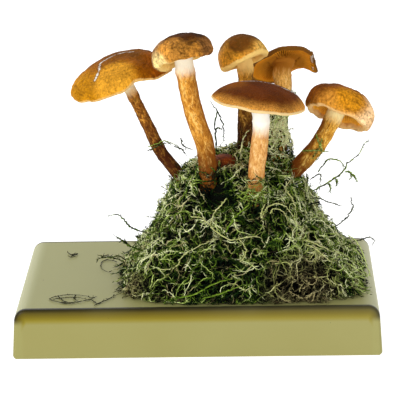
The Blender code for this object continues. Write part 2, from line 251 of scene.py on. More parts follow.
# Mushrooms. line runs down the stem's middle from the cap, radii along it; lean is the cap's tilt
# to the front and to the right; crown is the dome's height over its widest ring, hollow the depth of
# the underside over that ring, turn the angle of the dome's arc. reach and hang are the margin's
# distance and rise at eight points from the right round the back; lobes are angle, half width, rise
# and extra reach. creases are dents in the skin, darkened with painted shade; streaks are pale lines of
# painted highlight with a darker border, on the left cap partly a pale tear.
mushrooms = {
    "left": {
        "line": ((-36.5, 12.0, 125.0), (-33.2, 12.0, 117.5), (-29.6, 12.0, 109.6), (-24.3, 11.0, 98.3),
                 (-18.5, 9.0, 86.3), (-12.5, 7.5, 78.0), (-5.0, 5.0, 69.0)),
        "radii": (3.3, 3.0, 2.8, 3.0, 3.1, 3.1, 3.0),
        "lean": (4.0, -15.0), "crown": 13.0, "hollow": 2.5, "turn": 97.0, "lip": 0.8,
        "reach": (21.0, 22.0, 24.5, 27.0, 28.0, 26.0, 22.5, 21.0),
        "hang": (0.0, 1.0, 0.5, -1.0, -0.5, -0.5, 1.0, 0.0),
        "lobes": ((-8.0, 20.0, -0.5, 4.5), (-66.0, 29.0, 3.5, 0.0)),
        "wrinkle": 0.8, "rings": 0.6, "ragged": 0.8, "rimAt": 0.985,
        "grain": 1.1, "contrast": 0.8, "creased": 0.35,
        "dome": (158, 94, 8), "band": (212, 142, 16), "bandAt": (0.5, 0.85),
        "margin": (228, 184, 110), "gills": (200, 140, 60), "gillsOut": (200, 140, 60),
        "patches": ((-30, 0.45, 12, (150, 84, 6)), (60, 0.3, 14, (124, 72, 12)),
                    (200, 0.8, 10, (210, 142, 20)),
                    (-12, 0.72, 9, (150, 78, 6)), (-100, 0.6, 9, (222, 156, 44))),
        "creases": (
            ((-46.9, 4.8, 131.2), (-44.1, -0.6, 130.9), (-41.4, -5.4, 129.5)),
            ((-24.9, 7.7, 135.9), (-23.7, 3.4, 134.2), (-25.0, -1.4, 132.3), (-27.8, -5.7, 131.7)),
            ((-58.8, 0.6, 118.5), (-54.7, -5.1, 117.9), (-50.1, -8.0, 117.7)),
            ((-60.4, 7.0, 121.1), (-58.1, 0.6, 120.0), (-55.3, -3.7, 119.4)),
            ((-41.4, 6.2, 133.9), (-37.1, 1.0, 134.0), (-33.1, 1.1, 134.9), (-30.4, 7.4, 136.1)),
        ),
        "streaks": (
            ((-31.4, 13.0, 136.6), (-38.4, 13.0, 135.7), (-44.7, 11.1, 133.4), (-47.1, 9.3, 132.0),
             (-47.9, 1.8, 129.9),
             (-49.6, -3.6, 126.0)),
        ),
        "apex": 10.0, "pale": (244, 226, 184), "flesh": (196, 126, 44), "glow": (232, 170, 70),
        "scales": (66, 30, 10),
        "foot": (84, 44, 18), "footAt": (0.22, 0.75), "cover": 0.75, "sideShade": 0.35,
    },
    "tall": {
        "line": ((-6.5, -13.0, 142.2), (-5.1, -13.0, 137.6), (-4.4, -13.0, 131.6), (-2.4, -13.0, 119.4),
                 (0.1, -13.0, 108.4), (3.8, -13.0, 97.3), (5.6, -12.5, 86.1), (5.8, -11.5, 76.0),
                 (6.0, -9.0, 66.0)),
        "radii": (5.2, 4.7, 4.5, 4.5, 4.6, 4.6, 4.5, 4.2, 4.0),
        "lean": (-17.0, -14.0), "crown": 11.0, "hollow": 2.5, "turn": 110.0, "lip": 2.2,
        "reach": (16.0, 15.5, 15.0, 15.0, 15.0, 16.0, 16.5, 16.0),
        "hang": (1.0, 2.5, 1.0, -2.0, 0.0, 0.5, 0.5, -0.5),
        "lobes": (),
        "wrinkle": 1.5, "rings": 0.0, "ragged": 0.6, "rimAt": 1.08,
        "grain": 1.3, "contrast": 1.1, "creased": 0.6,
        "dome": (80, 42, 10), "band": (200, 134, 50), "bandAt": (0.46, 0.85),
        "margin": (244, 206, 124), "gills": (240, 178, 64), "gillsOut": (246, 206, 110),
        "patches": ((190, 0.6, 7, (164, 124, 80)), (-105, 0.68, 6, (206, 140, 56)),
                    (-140, 0.99, 5, (244, 214, 142)),
                    (-20, 0.85, 6, (160, 106, 52)), (20, 0.3, 8, (66, 34, 8))),
        "creases": (
            ((-9.4, -25.4, 149.1), (-7.2, -27.9, 147.8), (-4.4, -28.6, 146.5), (-1.4, -27.7, 146.7)),
            ((-7.5, -28.6, 146.5), (-5.8, -29.5, 144.6), (-2.6, -29.1, 143.9)),
            ((-1.4, -26.2, 148.5), (1.0, -25.8, 147.4), (3.4, -23.8, 147.5)),
            ((-4.5, -23.8, 150.5), (-1.5, -21.9, 150.7), (1.5, -22.0, 149.7)),
            ((-14.3, -22.9, 148.0), (-11.9, -22.9, 149.2), (-8.8, -24.5, 149.8)),
            ((3.9, -20.6, 149.1), (5.8, -21.2, 147.3), (6.3, -22.9, 145.0)),
            ((2.2, -26.8, 145.0), (5.2, -24.3, 144.0), (7.7, -20.9, 144.2)),
        ),
        "streaks": (),
        "apex": 11.0, "pale": (252, 242, 218), "flesh": (220, 152, 56), "glow": (248, 200, 110),
        "scales": (130, 70, 18),
        "foot": (96, 52, 14), "footAt": (0.52, 0.76), "cover": 0.5, "sideShade": 0.4,
    },
    "bell": {
        "line": ((22.7, 8.0, 135.9), (24.6, 8.0, 130.5), (25.1, 8.0, 122.5), (24.8, 8.0, 107.0),
                 (24.4, 8.0, 94.0), (24.1, 7.5, 82.0), (24.0, 6.5, 71.0)),
        "radii": (5.6, 4.3, 3.8, 3.8, 3.9, 4.0, 3.8),
        "lean": (-22.0, -25.0), "crown": 13.0, "hollow": 3.5, "turn": 102.0, "lip": 1.6,
        "reach": (13.0, 12.5, 12.0, 11.5, 12.0, 13.0, 13.0, 13.5),
        "hang": (-0.5, 0.0, 1.0, 2.5, 1.5, -1.0, -1.5, -0.5),
        "lobes": (),
        "wrinkle": 0.9, "rings": 0.0, "ragged": 0.5, "rimAt": 0.95,
        "grain": 1.1, "contrast": 1.0, "creased": 0.45,
        "dome": (168, 114, 40), "band": (206, 142, 52), "bandAt": (0.4, 1.0),
        "margin": (250, 208, 120), "gills": (240, 178, 60), "gillsOut": (244, 200, 110),
        "patches": ((-20, 0.3, 7, (98, 58, 20)), (5, 0.62, 4, (84, 52, 20)), (-25, 0.95, 5, (226, 176, 84)),
                    (205, 0.9, 8, (200, 162, 112)),
                    (-120, 0.8, 7, (222, 152, 44)), (-75, 0.55, 5, (112, 64, 16))),
        "creases": (
            ((23.0, -3.6, 140.6), (25.5, -3.3, 141.2), (28.8, -1.9, 141.9), (33.0, 0.4, 140.9)),
            ((21.0, -0.5, 143.0), (22.5, -2.7, 141.6)),
            ((18.8, -1.2, 141.3), (20.7, -3.9, 139.0)),
            ((15.5, 1.9, 141.1), (16.4, -2.3, 137.8), (17.9, -4.4, 135.8)),
        ),
        "streaks": (),
        "apex": 9.0, "pale": (255, 214, 130), "flesh": (214, 150, 50), "glow": (240, 184, 84),
        "scales": (72, 36, 12),
        "foot": (26, 12, 6), "footAt": (0.22, 0.62), "cover": 0.5, "sideShade": 0.4,
    },
    "back": {
        "line": ((44.5, 30.0, 126.0), (43.6, 27.0, 121.6), (43.8, 24.5, 112.8), (41.6, 20.5, 99.3),
                 (40.9, 16.0, 83.7), (40.5, 12.5, 71.0)),
        "radii": (4.9, 4.6, 4.3, 4.2, 4.2, 4.0),
        "lean": (-38.0, -7.0), "crown": 8.5, "hollow": 4.5, "turn": 72.0, "lip": 0.9,
        "reach": (16.0, 17.0, 17.5, 19.5, 19.5, 17.5, 17.0, 16.5),
        "hang": (2.5, 2.0, 0.0, -1.0, -1.5, -0.5, 2.0, 3.0),
        "lobes": ((25.0, 25.0, -4.5, 1.5), (70.0, 40.0, 5.0, -0.5)),
        "wrinkle": 0.8, "rings": 0.0, "ragged": 0.5, "rimAt": 1.04,
        "grain": 0.8, "contrast": 0.8, "creased": 0.3,
        "dome": (96, 56, 14), "band": (110, 66, 18), "bandAt": (0.6, 0.9),
        "margin": (120, 76, 24), "gills": (184, 118, 32), "gillsOut": (232, 152, 36),
        "patches": ((20, 0.95, 8, (214, 150, 62)), (-60, 0.5, 9, (130, 78, 20))),
        "creases": (
            ((41.0, 25.0, 129.2), (42.0, 30.8, 124.8)),
            ((46.0, 23.3, 131.1), (44.6, 31.4, 124.7)),
            ((36.5, 27.1, 126.8), (38.5, 36.0, 120.6)),
            ((52.6, 26.7, 129.8), (49.6, 32.6, 124.3)),
        ),
        "streaks": (((58.7, 28.2, 129.8), (59.2, 31.5, 125.5), (59.7, 33.1, 122.0)),),
        # the back stem's pale colour is darker than its flesh: painted shade under its cap
        "apex": 6.0, "pale": (176, 112, 34), "flesh": (240, 182, 92), "glow": (252, 216, 140),
        "scales": (150, 96, 30),
        "foot": (170, 122, 44), "footAt": (0.3, 0.8), "cover": 0.4, "sideShade": -0.5,
    },
    "front": {
        "line": ((31.5, -24.0, 117.9), (32.4, -24.0, 112.0), (32.4, -24.0, 105.4), (31.2, -24.0, 94.3),
                 (29.9, -23.0, 82.9), (29.3, -22.0, 76.0), (28.8, -20.0, 66.0)),
        "radii": (5.2, 4.2, 4.1, 4.1, 4.0, 3.8, 3.6),
        "lean": (-1.0, 8.0), "crown": 12.0, "hollow": 2.0, "turn": 80.0, "lip": 0.8,
        "reach": (23.0, 23.0, 23.0, 23.0, 23.5, 23.5, 23.0, 23.0),
        "hang": (0.0, 0.5, 0.5, 0.0, 0.0, 0.5, 0.5, -0.5),
        "lobes": (),
        "wrinkle": 0.35, "rings": 0.0, "ragged": 0.45, "rimAt": 0.98,
        "grain": 0.7, "contrast": 1.0, "creased": 0.15,
        "dome": (104, 50, 8), "band": (214, 148, 62), "bandAt": (0.62, 1.0),
        "margin": (232, 200, 140), "gills": (206, 146, 70), "gillsOut": (206, 146, 70),
        "patches": ((-75, 0.2, 6, (98, 44, 4)), (180, 0.5, 7, (130, 72, 14))),
        "creases": (),
        "streaks": (
            ((18.5, -10.0, 124.4), (22.4, -17.5, 127.5), (28.5, -18.6, 127.9), (37.1, -17.6, 126.6),
             (44.4, -21.1, 124.5), (49.3, -21.0, 121.6)),
        ),
        "apex": 14.0, "pale": (252, 249, 236), "flesh": (222, 168, 96), "glow": (244, 206, 146),
        "scales": (180, 108, 46),
        "foot": (190, 124, 42), "footAt": (0.55, 0.95), "cover": 0.4, "sideShade": 0.0,
    },
    "right": {
        "line": ((72.8, 0.0, 111.7), (69.6, 0.0, 106.6), (65.3, 0.0, 97.9), (59.8, 1.0, 89.0),
                 (53.2, 2.0, 81.0), (47.5, 3.0, 75.0), (41.0, 4.0, 69.0)),
        "radii": (5.2, 4.4, 4.1, 4.1, 4.2, 4.2, 4.0),
        "lean": (-20.0, 22.0), "crown": 12.0, "hollow": 3.5, "turn": 117.0, "lip": 1.5,
        "reach": (18.0, 17.5, 17.0, 17.0, 17.5, 17.5, 17.5, 18.0),
        "hang": (-1.0, -2.0, -2.0, -1.0, 1.0, 3.0, 2.5, 1.0),
        "lobes": ((96.0, 24.0, 2.5, 0.5),),
        "wrinkle": 1.1, "rings": 0.3, "ragged": 0.8, "rimAt": 1.03,
        "grain": 1.1, "contrast": 1.0, "creased": 0.4,
        "dome": (156, 86, 12), "band": (200, 136, 48), "bandAt": (0.55, 0.85),
        "margin": (232, 186, 120), "gills": (252, 186, 62), "gillsOut": (250, 180, 60),
        "patches": ((25, 0.4, 9, (128, 76, 20)), (-40, 0.95, 10, (250, 208, 154)),
                    (185, 0.5, 10, (112, 58, 10)),
                    (-80, 0.62, 7, (214, 142, 26)), (5, 0.85, 9, (222, 178, 124))),
        "creases": (
            ((66.3, -15.2, 117.5), (69.3, -14.8, 119.9), (73.1, -15.7, 118.9), (74.1, -17.4, 114.7)),
            ((74.9, -17.3, 113.2), (78.6, -16.8, 110.4), (81.6, -14.9, 106.9)),
            ((77.2, -16.0, 116.9), (81.2, -15.1, 114.6), (84.2, -13.8, 110.2)),
            ((57.6, -6.9, 117.6), (59.6, -7.3, 120.2), (62.6, -8.4, 122.0)),
        ),
        "streaks": (),
        "apex": 9.0, "pale": (246, 224, 160), "flesh": (224, 164, 60), "glow": (250, 210, 110),
        "scales": (112, 54, 12),
        "foot": (92, 44, 14), "footAt": (0.4, 0.8), "cover": 0.48, "sideShade": -0.75,
    },
}


def capAxes(mushroom):  # turn of a cap: +Z out of the top of its dome
    front, right = (math.radians(angle) for angle in mushroom["lean"])
    return Matrix.Rotation(right, 3, "Y") @ Matrix.Rotation(front, 3, "X")


def marginRise(mushroom, angle):
    rise, more = around(mushroom["hang"], angle), 0.0
    for centre, halfWidth, lobeRise, lobeReach in mushroom["lobes"]:
        off = ((math.degrees(angle) - centre + 180) % 360 - 180) / halfWidth
        swell = max(0.0, 1 - off * off) ** 2
        rise += lobeRise * swell
        more += lobeReach * swell
    return rise, more


# Caps
capForm = {
    "gills": 72,
    "columnsPerGill": 4,
    "gillColumns": (0.035, 0.215, 0.425, 0.825),  # where the four columns of a gill stand
    "skinRings": 44,
    "gillRings": 16,
    "gillDepth": 1.7,
    "gillArch": 0.75,  # power of the underside's curve
    "lipSteps": 8,
    "seatLedge": 0.8,  # flat ring round the stem's end
    "lumps": (6.5, 0.6),  # size and height of the skin's relief
    "creases": (4.2, 0.4),
    "grain": (1.2, 0.1),
    "creaseWidth": 0.09,
    "ringPitch": 2.1,
    "creaseReach": 0.55,
    "creaseDepth": 0.4,
    "streakReach": 0.8,
    "teeth": ((2.4, 1.4), (8.0, 0.9), (24.0, 0.5)),  # waves of the margin: how often and how far
    "wander": (3.0, 0.9),  # size and reach of the bends in the creases
    "smoothParts": 8.0,  # size of the parts that have creases or none
    "ringWidth": 0.16,
    "reliefEnd": 0.94,  # where the relief fades out towards the rim
}
capLayers = ("rim", "under", "share", "valley", "wrinkle", "fold", "streak")
capLook = {  # size, detail, roughness and twist of each noise; the grain's size is the mushroom's own
    "mottle": (5.0, 4.0, 0.62, 0.4),
    "cloud": (9.0, 2.0, 0.5),
    "crease": (2.6, 3.0, 0.6, 0.8),
    "grain": (4.0, 0.65),
    "patchReach": 2.0,  # patches fade out at this many times their reach
    "dark": 0.3,  # brightness of the skin's dark parts, its light parts and the gaps between the gills, whose darkness is painted shade
    "light": 1.9,
    "gillGapShade": 0.45,
    # streak: colour of the painted highlight along the caps' edges
    "streak": (236, 232, 220),
}


def capRows(mushroom, mean, seat):  # rows of radius share, height, rim, under and gill share
    turn, lip = math.radians(mushroom["turn"]), mushroom["lip"]
    widest = math.sin(min(turn, math.pi / 2))
    pace = Vector((mean * math.cos(turn) / widest, mushroom["crown"] * math.sin(turn))).length
    turn -= lip / pace
    rows = []
    for i in range(capForm["skinRings"] + 1):
        angle = turn * i / capForm["skinRings"]
        height = mushroom["crown"] * math.cos(angle) - mushroom["hollow"]
        rows.append((math.sin(angle) / widest, height, i / capForm["skinRings"], 0.0, 1.0))
    down = Vector((mean * math.cos(turn) / widest, -mushroom["crown"] * math.sin(turn))).normalized()
    inwards = Vector((down.y, -down.x))
    edge = Vector((rows[-1][0] * mean, rows[-1][1]))
    inner = edge + inwards * 2 * lip
    for i in range(1, capForm["lipSteps"] + 1):
        angle = math.pi * i / capForm["lipSteps"]
        point = edge + inwards * lip * (1 - math.cos(angle)) + down * lip * math.sin(angle)
        rows.append((point.x / mean, point.y, 1.0, 0.5 * i / capForm["lipSteps"], 1.0))
    for i in range(1, capForm["gillRings"] + 1):
        share = 1 - i / capForm["gillRings"]
        drop = 1 - (1 - share) ** capForm["gillArch"]
        rows.append((seat + (inner.x / mean - seat) * share, inner.y * drop, 1.0, 1.0, share))
    rows.append((0.0, 0.0, 1.0, 1.0, 0.0))
    return rows


def bendCap(mushroom, mean, seat, place, ragged=0.0):  # from the round shape to the cap's own outline
    radius = math.hypot(place.x, place.y)
    if radius < 1e-5:
        return place
    angle = math.atan2(place.y, place.x)
    rise, more = marginRise(mushroom, angle)
    reach = mean + (around(mushroom["reach"], angle) + more + ragged - mean) * min(radius, 1.0) ** 2
    outward = max(0.0, (radius - seat) / (1 - seat))
    return Vector((place.x * reach, place.y * reach, place.z + rise * outward * outward))


def gillLift(mushroom, column, share):  # how far a column of the underside stands back from the gill edges
    gill, corner = divmod(column, capForm["columnsPerGill"])
    mean = sum(mushroom["reach"]) / len(mushroom["reach"])
    depth = min(capForm["gillDepth"], 0.4 * (1 - share) * mean) * smooth(share, 0.0, 0.12)
    if corner < 2:  # the gill's own edge: every second gill stops half way to the stem
        return depth * (1 - smooth(share, 0.34, 0.5)) if gill % 2 else 0.0
    return depth


def wrinkles(mushroom, place, local, rim):  # height of the skin's relief, and how deep in a crease it is
    lumpSize, lumpHeight = capForm["lumps"]
    creaseSize, creaseHeight = capForm["creases"]
    grainSize, grainHeight = capForm["grain"]
    lump = noise.noise(place / lumpSize) * lumpHeight
    wanderSize, wanderReach = capForm["wander"]
    bent = place + noise.noise_vector(place / wanderSize) * wanderReach
    valley = math.exp(-(noise.noise(bent / creaseSize) / capForm["creaseWidth"]) ** 2)
    valley *= smooth(noise.noise(place / capForm["smoothParts"]), -0.25, 0.25)
    radius = math.hypot(local.x, local.y)
    turned = Vector((local.x, local.y, 0.0)) / max(radius, 0.1) * 1.5
    wave = noise.noise(turned + Vector((0.0, 0.0, radius / capForm["ringPitch"])))
    circle = mushroom["rings"] * math.exp(-(wave / capForm["ringWidth"]) ** 2)
    fold = max(valley, circle)
    grain = noise.noise(place / grainSize) * grainHeight
    fade = 1 - smooth(rim, capForm["reliefEnd"], 1.0)
    height = mushroom["wrinkle"] * (lump - fold * creaseHeight + grain - 0.1) * fade
    return height, fold * min(mushroom["wrinkle"], 1.0) * fade


def buildCap(name, mushroom):
    columns = capForm["gills"] * capForm["columnsPerGill"]
    mean = sum(mushroom["reach"]) / len(mushroom["reach"])
    seat = (mushroom["radii"][0] + capForm["seatLedge"]) / mean
    shape = bmesh.new()
    rimLayer, underLayer, shareLayer, backLayer, wrinkleLayer, foldLayer, streakLayer = (
        shape.verts.layers.float.new(layer) for layer in capLayers
    )
    row = []
    for radius, height, rim, under, share in capRows(mushroom, mean, seat):
        v = shape.verts.new((radius, 0.0, height))
        v[rimLayer], v[underLayer], v[shareLayer] = rim, under, share
        row.append(v)
    turnRow(shape, row, columns)
    seed = Vector(mushroom["line"][0])
    for v in shape.verts:
        radius = math.hypot(v.co.x, v.co.y)
        angle = math.atan2(v.co.y, v.co.x)
        column = round(angle / math.tau * columns) % columns
        lift = 0.0
        if v[underLayer] == 1.0 and radius > 1e-5:
            corner = column % capForm["columnsPerGill"]
            shift = capForm["gillColumns"][corner] - corner / capForm["columnsPerGill"]
            spun = Vector((math.cos(angle) * 5, math.sin(angle) * 5, v[shareLayer] * 3))
            wave = 0.25 * noise.noise(spun + seed)
            angle += (shift + wave * v[shareLayer]) * math.tau / capForm["gills"] * (1 - v[shareLayer] ** 6)
            lift = gillLift(mushroom, column, v[shareLayer])
            v[backLayer] = lift / capForm["gillDepth"]
        turned = Vector((math.cos(angle), math.sin(angle), 0.0))
        tooth = sum(strength * noise.noise(turned * often + seed) for often, strength in capForm["teeth"])
        edge = smooth(v[rimLayer] if v[underLayer] < 1 else v[shareLayer], 0.75, 1.0)
        sway = mushroom["ragged"] * noise.noise(turned * 2.6 - seed) * 1.6 * edge
        place = Vector((turned.x * radius, turned.y * radius, v.co.z + lift + sway))
        v.co = bendCap(mushroom, mean, seat, place, mushroom["ragged"] * tooth * edge)
    bmesh.ops.recalc_face_normals(shape, faces=shape.faces)
    shape.normal_update()
    moves = []
    for v in shape.verts:
        if v[underLayer] == 0:
            height, v[wrinkleLayer] = wrinkles(mushroom, v.co + seed, v.co, v[rimLayer])
            moves.append((v, v.normal * height))
    for v, move in moves:
        v.co += move
    turn = Matrix.Translation(mushroom["line"][0]) @ capAxes(mushroom).to_4x4()
    bmesh.ops.transform(shape, matrix=turn, verts=shape.verts)
    shape.normal_update()
    places = np.array([v.co for v in shape.verts])
    creased = nearLines(places, mushroom["creases"], capForm["creaseReach"])
    streaked = nearLines(places, mushroom["streaks"], capForm["streakReach"])
    for v, fold, streak in zip(shape.verts, creased, streaked):
        v[foldLayer], v[streakLayer] = fold, streak
        v.co -= v.normal * fold * capForm["creaseDepth"]
    finishPiece(f"{name}_cap", shape, capMaterial(name, mushroom, mean, seat), (f"cap_{name}",))


def nearLines(places, lines, reach):  # 1 on a line, falling to 0 beside it
    near = np.zeros(len(places))
    for line in lines:
        points = [Vector(point) for point in line]
        row = [along(points, i / 24) + noise.noise_vector(along(points, i / 24)) * 0.5 for i in range(25)]
        away = np.linalg.norm(places[:, None] - np.array(row)[None], axis=2).min(axis=1)
        near = np.maximum(near, np.exp(-(away / reach) ** 2))
    return near


def skinPoint(mushroom, mean, seat, degrees, share):  # place on a cap's skin
    turn = math.radians(mushroom["turn"])
    arc = turn * share
    radius = math.sin(arc) / math.sin(min(turn, math.pi / 2))
    angle = math.radians(degrees)
    height = mushroom["crown"] * math.cos(arc) - mushroom["hollow"]
    local = Vector((radius * math.cos(angle), radius * math.sin(angle), height))
    return capAxes(mushroom) @ bendCap(mushroom, mean, seat, local) + Vector(mushroom["line"][0])


def capMaterial(name, mushroom, mean, seat):
    made, start = newMaterial(f"cap_skin_{name}")
    place = start.place()
    rim, under, share, valley, wrinkle, fold, streak = (start.value(layer) for layer in capLayers)
    mottle = start.noise(place, *capLook["mottle"])
    cloud = start.noise(place, *capLook["cloud"])
    grain = start.noise(place, mushroom["grain"], *capLook["grain"])
    crease = abs(start.noise(place, *capLook["crease"]) - 0.5)
    ringed = rim + (mottle - 0.5) * 0.22
    skin = ringed.between(*mushroom["bandAt"]).mix(paint(*mushroom["dome"]), paint(*mushroom["band"]))
    for degrees, spotShare, reach, colour in mushroom["patches"]:
        centre = skinPoint(mushroom, mean, seat, degrees, spotShare)
        spot = start.spot(place, centre, reach * capLook["patchReach"])
        patch = (spot + (mottle - 0.5) * 0.9 * spot).between(0.1, 1.0)
        skin = patch.mix(skin, paint(*colour))
    dark = dimmed(paint(*mushroom["dome"]), capLook["dark"])
    contrast = mushroom["contrast"]
    # painted shade: dark lines where the bump's creases dip
    skin = ((1 - crease.between(0.0, 0.04)) * 0.12 * contrast).mix(skin, dark)
    skin = ((1 - grain.between(0.32, 0.5)) * 0.6 * contrast).mix(skin, dark)
    skin = ((1 - cloud.between(0.35, 0.52)) * 0.3 * contrast).mix(skin, dark)
    light = start.node("VectorMath", {"operation": "SCALE"}, {0: skin, "Scale": capLook["light"]})
    skin = (grain.between(0.5, 0.66) * 0.45 * contrast).mix(skin, light)
    skin = (cloud.between(0.5, 0.68) * 0.25 * contrast).mix(skin, light)
    edge = rim + under * 0.4 + (mottle - 0.5) * 0.06 + (grain - 0.5) * 0.03
    edge = edge.between(mushroom["rimAt"] - 0.02, mushroom["rimAt"] + 0.02)
    skin = edge.mix(skin, paint(*mushroom["margin"]))
    gillsIn, gillsOut = paint(*mushroom["gills"]), paint(*mushroom["gillsOut"])
    gills = (share + (mottle - 0.5) * 0.4).between(0.3, 1.0).mix(gillsIn, gillsOut)
    # painted shade: the recesses between the gill edges darken
    gills = valley.between(0.1, 0.9).mix(gills, dimmed(gillsOut, capLook["gillGapShade"]))
    colour = (under + (mottle - 0.5) * 0.3).between(0.3, 0.75).mix(skin, gills)
    # painted shade in the skin's creases, as dark as each lies deep
    colour = (wrinkle * mushroom["creased"]).mix(colour, dark)
    broken = (mottle + (grain - 0.5) * 0.6).between(0.35, 0.6)
    # painted shade along the listed creases, which are also dented
    colour = (fold.between(0.1, 0.9) * broken * 0.55).mix(colour, dark)
    # painted highlight: pale streaks along the caps' edges with a darker border beside them, on the left cap
    # partly a pale tear
    colour = (streak.between(0.02, 0.2) * 0.5).mix(colour, dark)
    colour = (streak.between(0.2, 0.6) * (0.45 + broken * 0.5)).mix(colour, paint(*capLook["streak"]))
    relief = crease.between(0.0, 0.12) + grain * 0.8
    closeMaterial(
        start, Base_Color=colour, Roughness=0.6 + mottle * 0.2, Normal=start.bump(relief, 0.6, 0.35),
        Specular_IOR_Level=0.03,
    )
    return made


# Stems
stemForm = {
    "sides": 56,
    "rings": 120,
    "turnShare": 0.2,  # share of the length over which the stem turns into the cap's axis
    "veilRidge": 0.35,
    "veilAt": 0.25,
    "veilReach": 0.05,
    "flare": 0.9,  # how much wider the flesh is where it meets the cap
    "flareReach": 2.2,
    "fibres": 0.16,
    "lumps": (5.0, 0.3),
    "granules": (1.2, 0.26),
    "streaky": 0.45,  # how much the flesh's markings are drawn out along the stem
}
stemLook = {  # size, detail, roughness and twist of each noise
    "mottle": (3.0, 4.0, 0.6),
    "grain": (0.9, 4.0, 0.7, 0.3),
    "fine": (0.45, 2.0, 0.5),
    "patchy": (1.7, 5.0, 0.75, 0.5),
}
axisRings = 60  # rings of each stem's middle line, for the moss


def stemRings(mushroom, rings):  # centre, radius, upward direction and length so far, from the cap down
    points = [Vector(point) for point in mushroom["line"]]
    capUp = capAxes(mushroom) @ Vector((0, 0, 1))
    made, run, last = [], 0.0, points[0]
    for i in range(rings + 1):
        share = i / rings
        centre = along(points, share)
        run += (centre - last).length
        last = centre
        up = (along(points, share - 0.01) - along(points, share + 0.01)).normalized()
        up = up.lerp(capUp, max(0.0, 1 - share / stemForm["turnShare"])).normalized()
        ridge = stemForm["veilRidge"] * max(0.0, 1 - abs(share - stemForm["veilAt"]) / stemForm["veilReach"])
        flare = stemForm["flare"] * (1 - smooth(run, 0.0, stemForm["flareReach"]))
        made.append((centre, along(mushroom["radii"], share) + ridge + flare, up, run))
    return made


def ringFrame(centre, up):
    side = (Vector((1, 0, 0)) - up * up.x).normalized()
    return Matrix.Translation(centre) @ Matrix((side, up.cross(side), up)).transposed().to_4x4()


def stemRelief(mushroom, place, angle, run):
    fibre = noise.noise(Vector((math.cos(angle) * 5, math.sin(angle) * 5, run / 9)) + place * 0.01)
    lumpSize, lumpHeight = stemForm["lumps"]
    granuleSize, granuleHeight = stemForm["granules"]
    rough = smooth(run, mushroom["apex"] * 0.6, mushroom["apex"] * 1.3)
    granule = max(0.0, noise.noise(place / granuleSize)) * granuleHeight * rough
    lump = lumpHeight * noise.noise(place / lumpSize)
    return stemForm["fibres"] * fibre + lump + granule * (0.5 + mushroom["cover"])


def buildStem(name, mushroom):
    shape = bmesh.new()
    runLayer, downLayer, sideLayer = (shape.verts.layers.float.new(layer) for layer in ("run", "down",
                                                                                        "side"))
    fleshLayer = shape.verts.layers.float_vector.new("flesh")
    loops = []
    rings = stemRings(mushroom, stemForm["rings"])
    for centre, radius, up, run in rings:
        ring = bmesh.ops.create_circle(
            shape, radius=radius, segments=stemForm["sides"], matrix=ringFrame(centre, up)
        )["verts"]
        for i, v in enumerate(ring):
            turned = math.tau * i / stemForm["sides"]
            outwards = (v.co - centre).normalized()
            v.co += outwards * stemRelief(mushroom, v.co.copy(), turned, run)
            v[runLayer], v[downLayer], v[sideLayer] = run, run / rings[-1][3], outwards.x
            flesh = Vector((math.cos(turned) * radius, math.sin(turned) * radius, run * stemForm["streaky"]))
            v[fleshLayer] = flesh * mm
        loops.append((ring, list({edge for v in ring for edge in v.link_edges})))
    for (_, above), (_, below) in zip(loops, loops[1:]):
        bmesh.ops.bridge_loops(shape, edges=above + below)
    shape.faces.new(loops[0][0])
    shape.faces.new(loops[-1][0])
    bmesh.ops.recalc_face_normals(shape, faces=shape.faces)
    finishPiece(f"{name}_stem", shape, stemMaterial(name, mushroom), (f"stem_{name}",))


def stemMaterial(name, mushroom):
    made, start = newMaterial(f"stem_flesh_{name}")
    flesh = start.node("Attribute", {"attribute_name": "flesh"}, output="Vector")
    run, down, side = (start.value(layer) for layer in ("run", "down", "side"))
    mottle, grain, fine, patchy = (
        start.noise(flesh, *stemLook[key]) for key in ("mottle", "grain", "fine", "patchy")
    )
    scales, apex = paint(*mushroom["scales"]), mushroom["apex"]
    lower = (down + (mottle - 0.5) * 0.3).between(*mushroom["footAt"])
    skin = lower.mix(paint(*mushroom["flesh"]), paint(*mushroom["foot"]))
    skin = ((1 - patchy.between(0.36, 0.5)) * 0.6).mix(skin, scales)
    skin = (patchy.between(0.5, 0.62) * (1 - lower * 0.6) * 0.85).mix(skin, paint(*mushroom["glow"]))
    cover = mushroom["cover"]
    scaly = (run + (grain - 0.5) * 8.0).between(apex * 0.8, apex * 1.5)
    spots = grain + lower * 0.06 + (mottle - 0.5) * 0.3
    skin = (spots.between(0.62 - 0.26 * cover, 0.74 - 0.22 * cover) * scaly * 0.7).mix(skin, scales)
    # painted shade: one side of the stem, chosen by the sign of this value, darkens towards the scales'
    # colour
    if mushroom["sideShade"]:
        turned = side * (1.0 if mushroom["sideShade"] > 0 else -1.0)
        sideShade = (turned + (mottle - 0.5) * 0.8).between(0.0, 0.9) * scaly
        skin = (sideShade * abs(mushroom["sideShade"])).mix(skin, scales)
    # painted shade: the stem's flanks towards +X and -X darken
    edges = (abs(side) + (mottle - 0.5) * 0.3).between(0.7, 1.0) * scaly
    skin = (edges * 0.45).mix(skin, scales)
    paleEnd = run + (mottle - 0.5) * 5.0 + (grain - 0.5) * 3.0
    white = 1 - paleEnd.between(apex * 0.6, apex * 1.3)
    skin = white.mix(skin, paint(*mushroom["pale"]))
    skin = ((1 - fine.between(0.3, 0.5)) * 0.35 * scaly).mix(skin, scales)
    relief = grain + fine * 0.5
    closeMaterial(
        start, Base_Color=skin, Roughness=0.6 + mottle * 0.2, Normal=start.bump(relief, 0.7, 0.4),
        Specular_IOR_Level=0.04,
    )
    return made


# Young button
button = {
    "centre": (13.8, 0.8, 81.4),
    "radius": 7.4,
    "height": 4.8,
    "segments": 96,
    "rings": 48,
    "lumps": (3.4, 0.3),
    "grain": (1.0, 0.12),
    "skin": (134, 60, 16),
    "dark": (60, 24, 8),
    "pale": (190, 116, 54),
    "inside": 0.06,  # how far the skin lies inside the solid, as a share of its size
    "reliefSize": 5.0,
    "mottle": (2.5, 4.0, 0.6),
    "pores": (0.8, 3.0, 0.6),
}


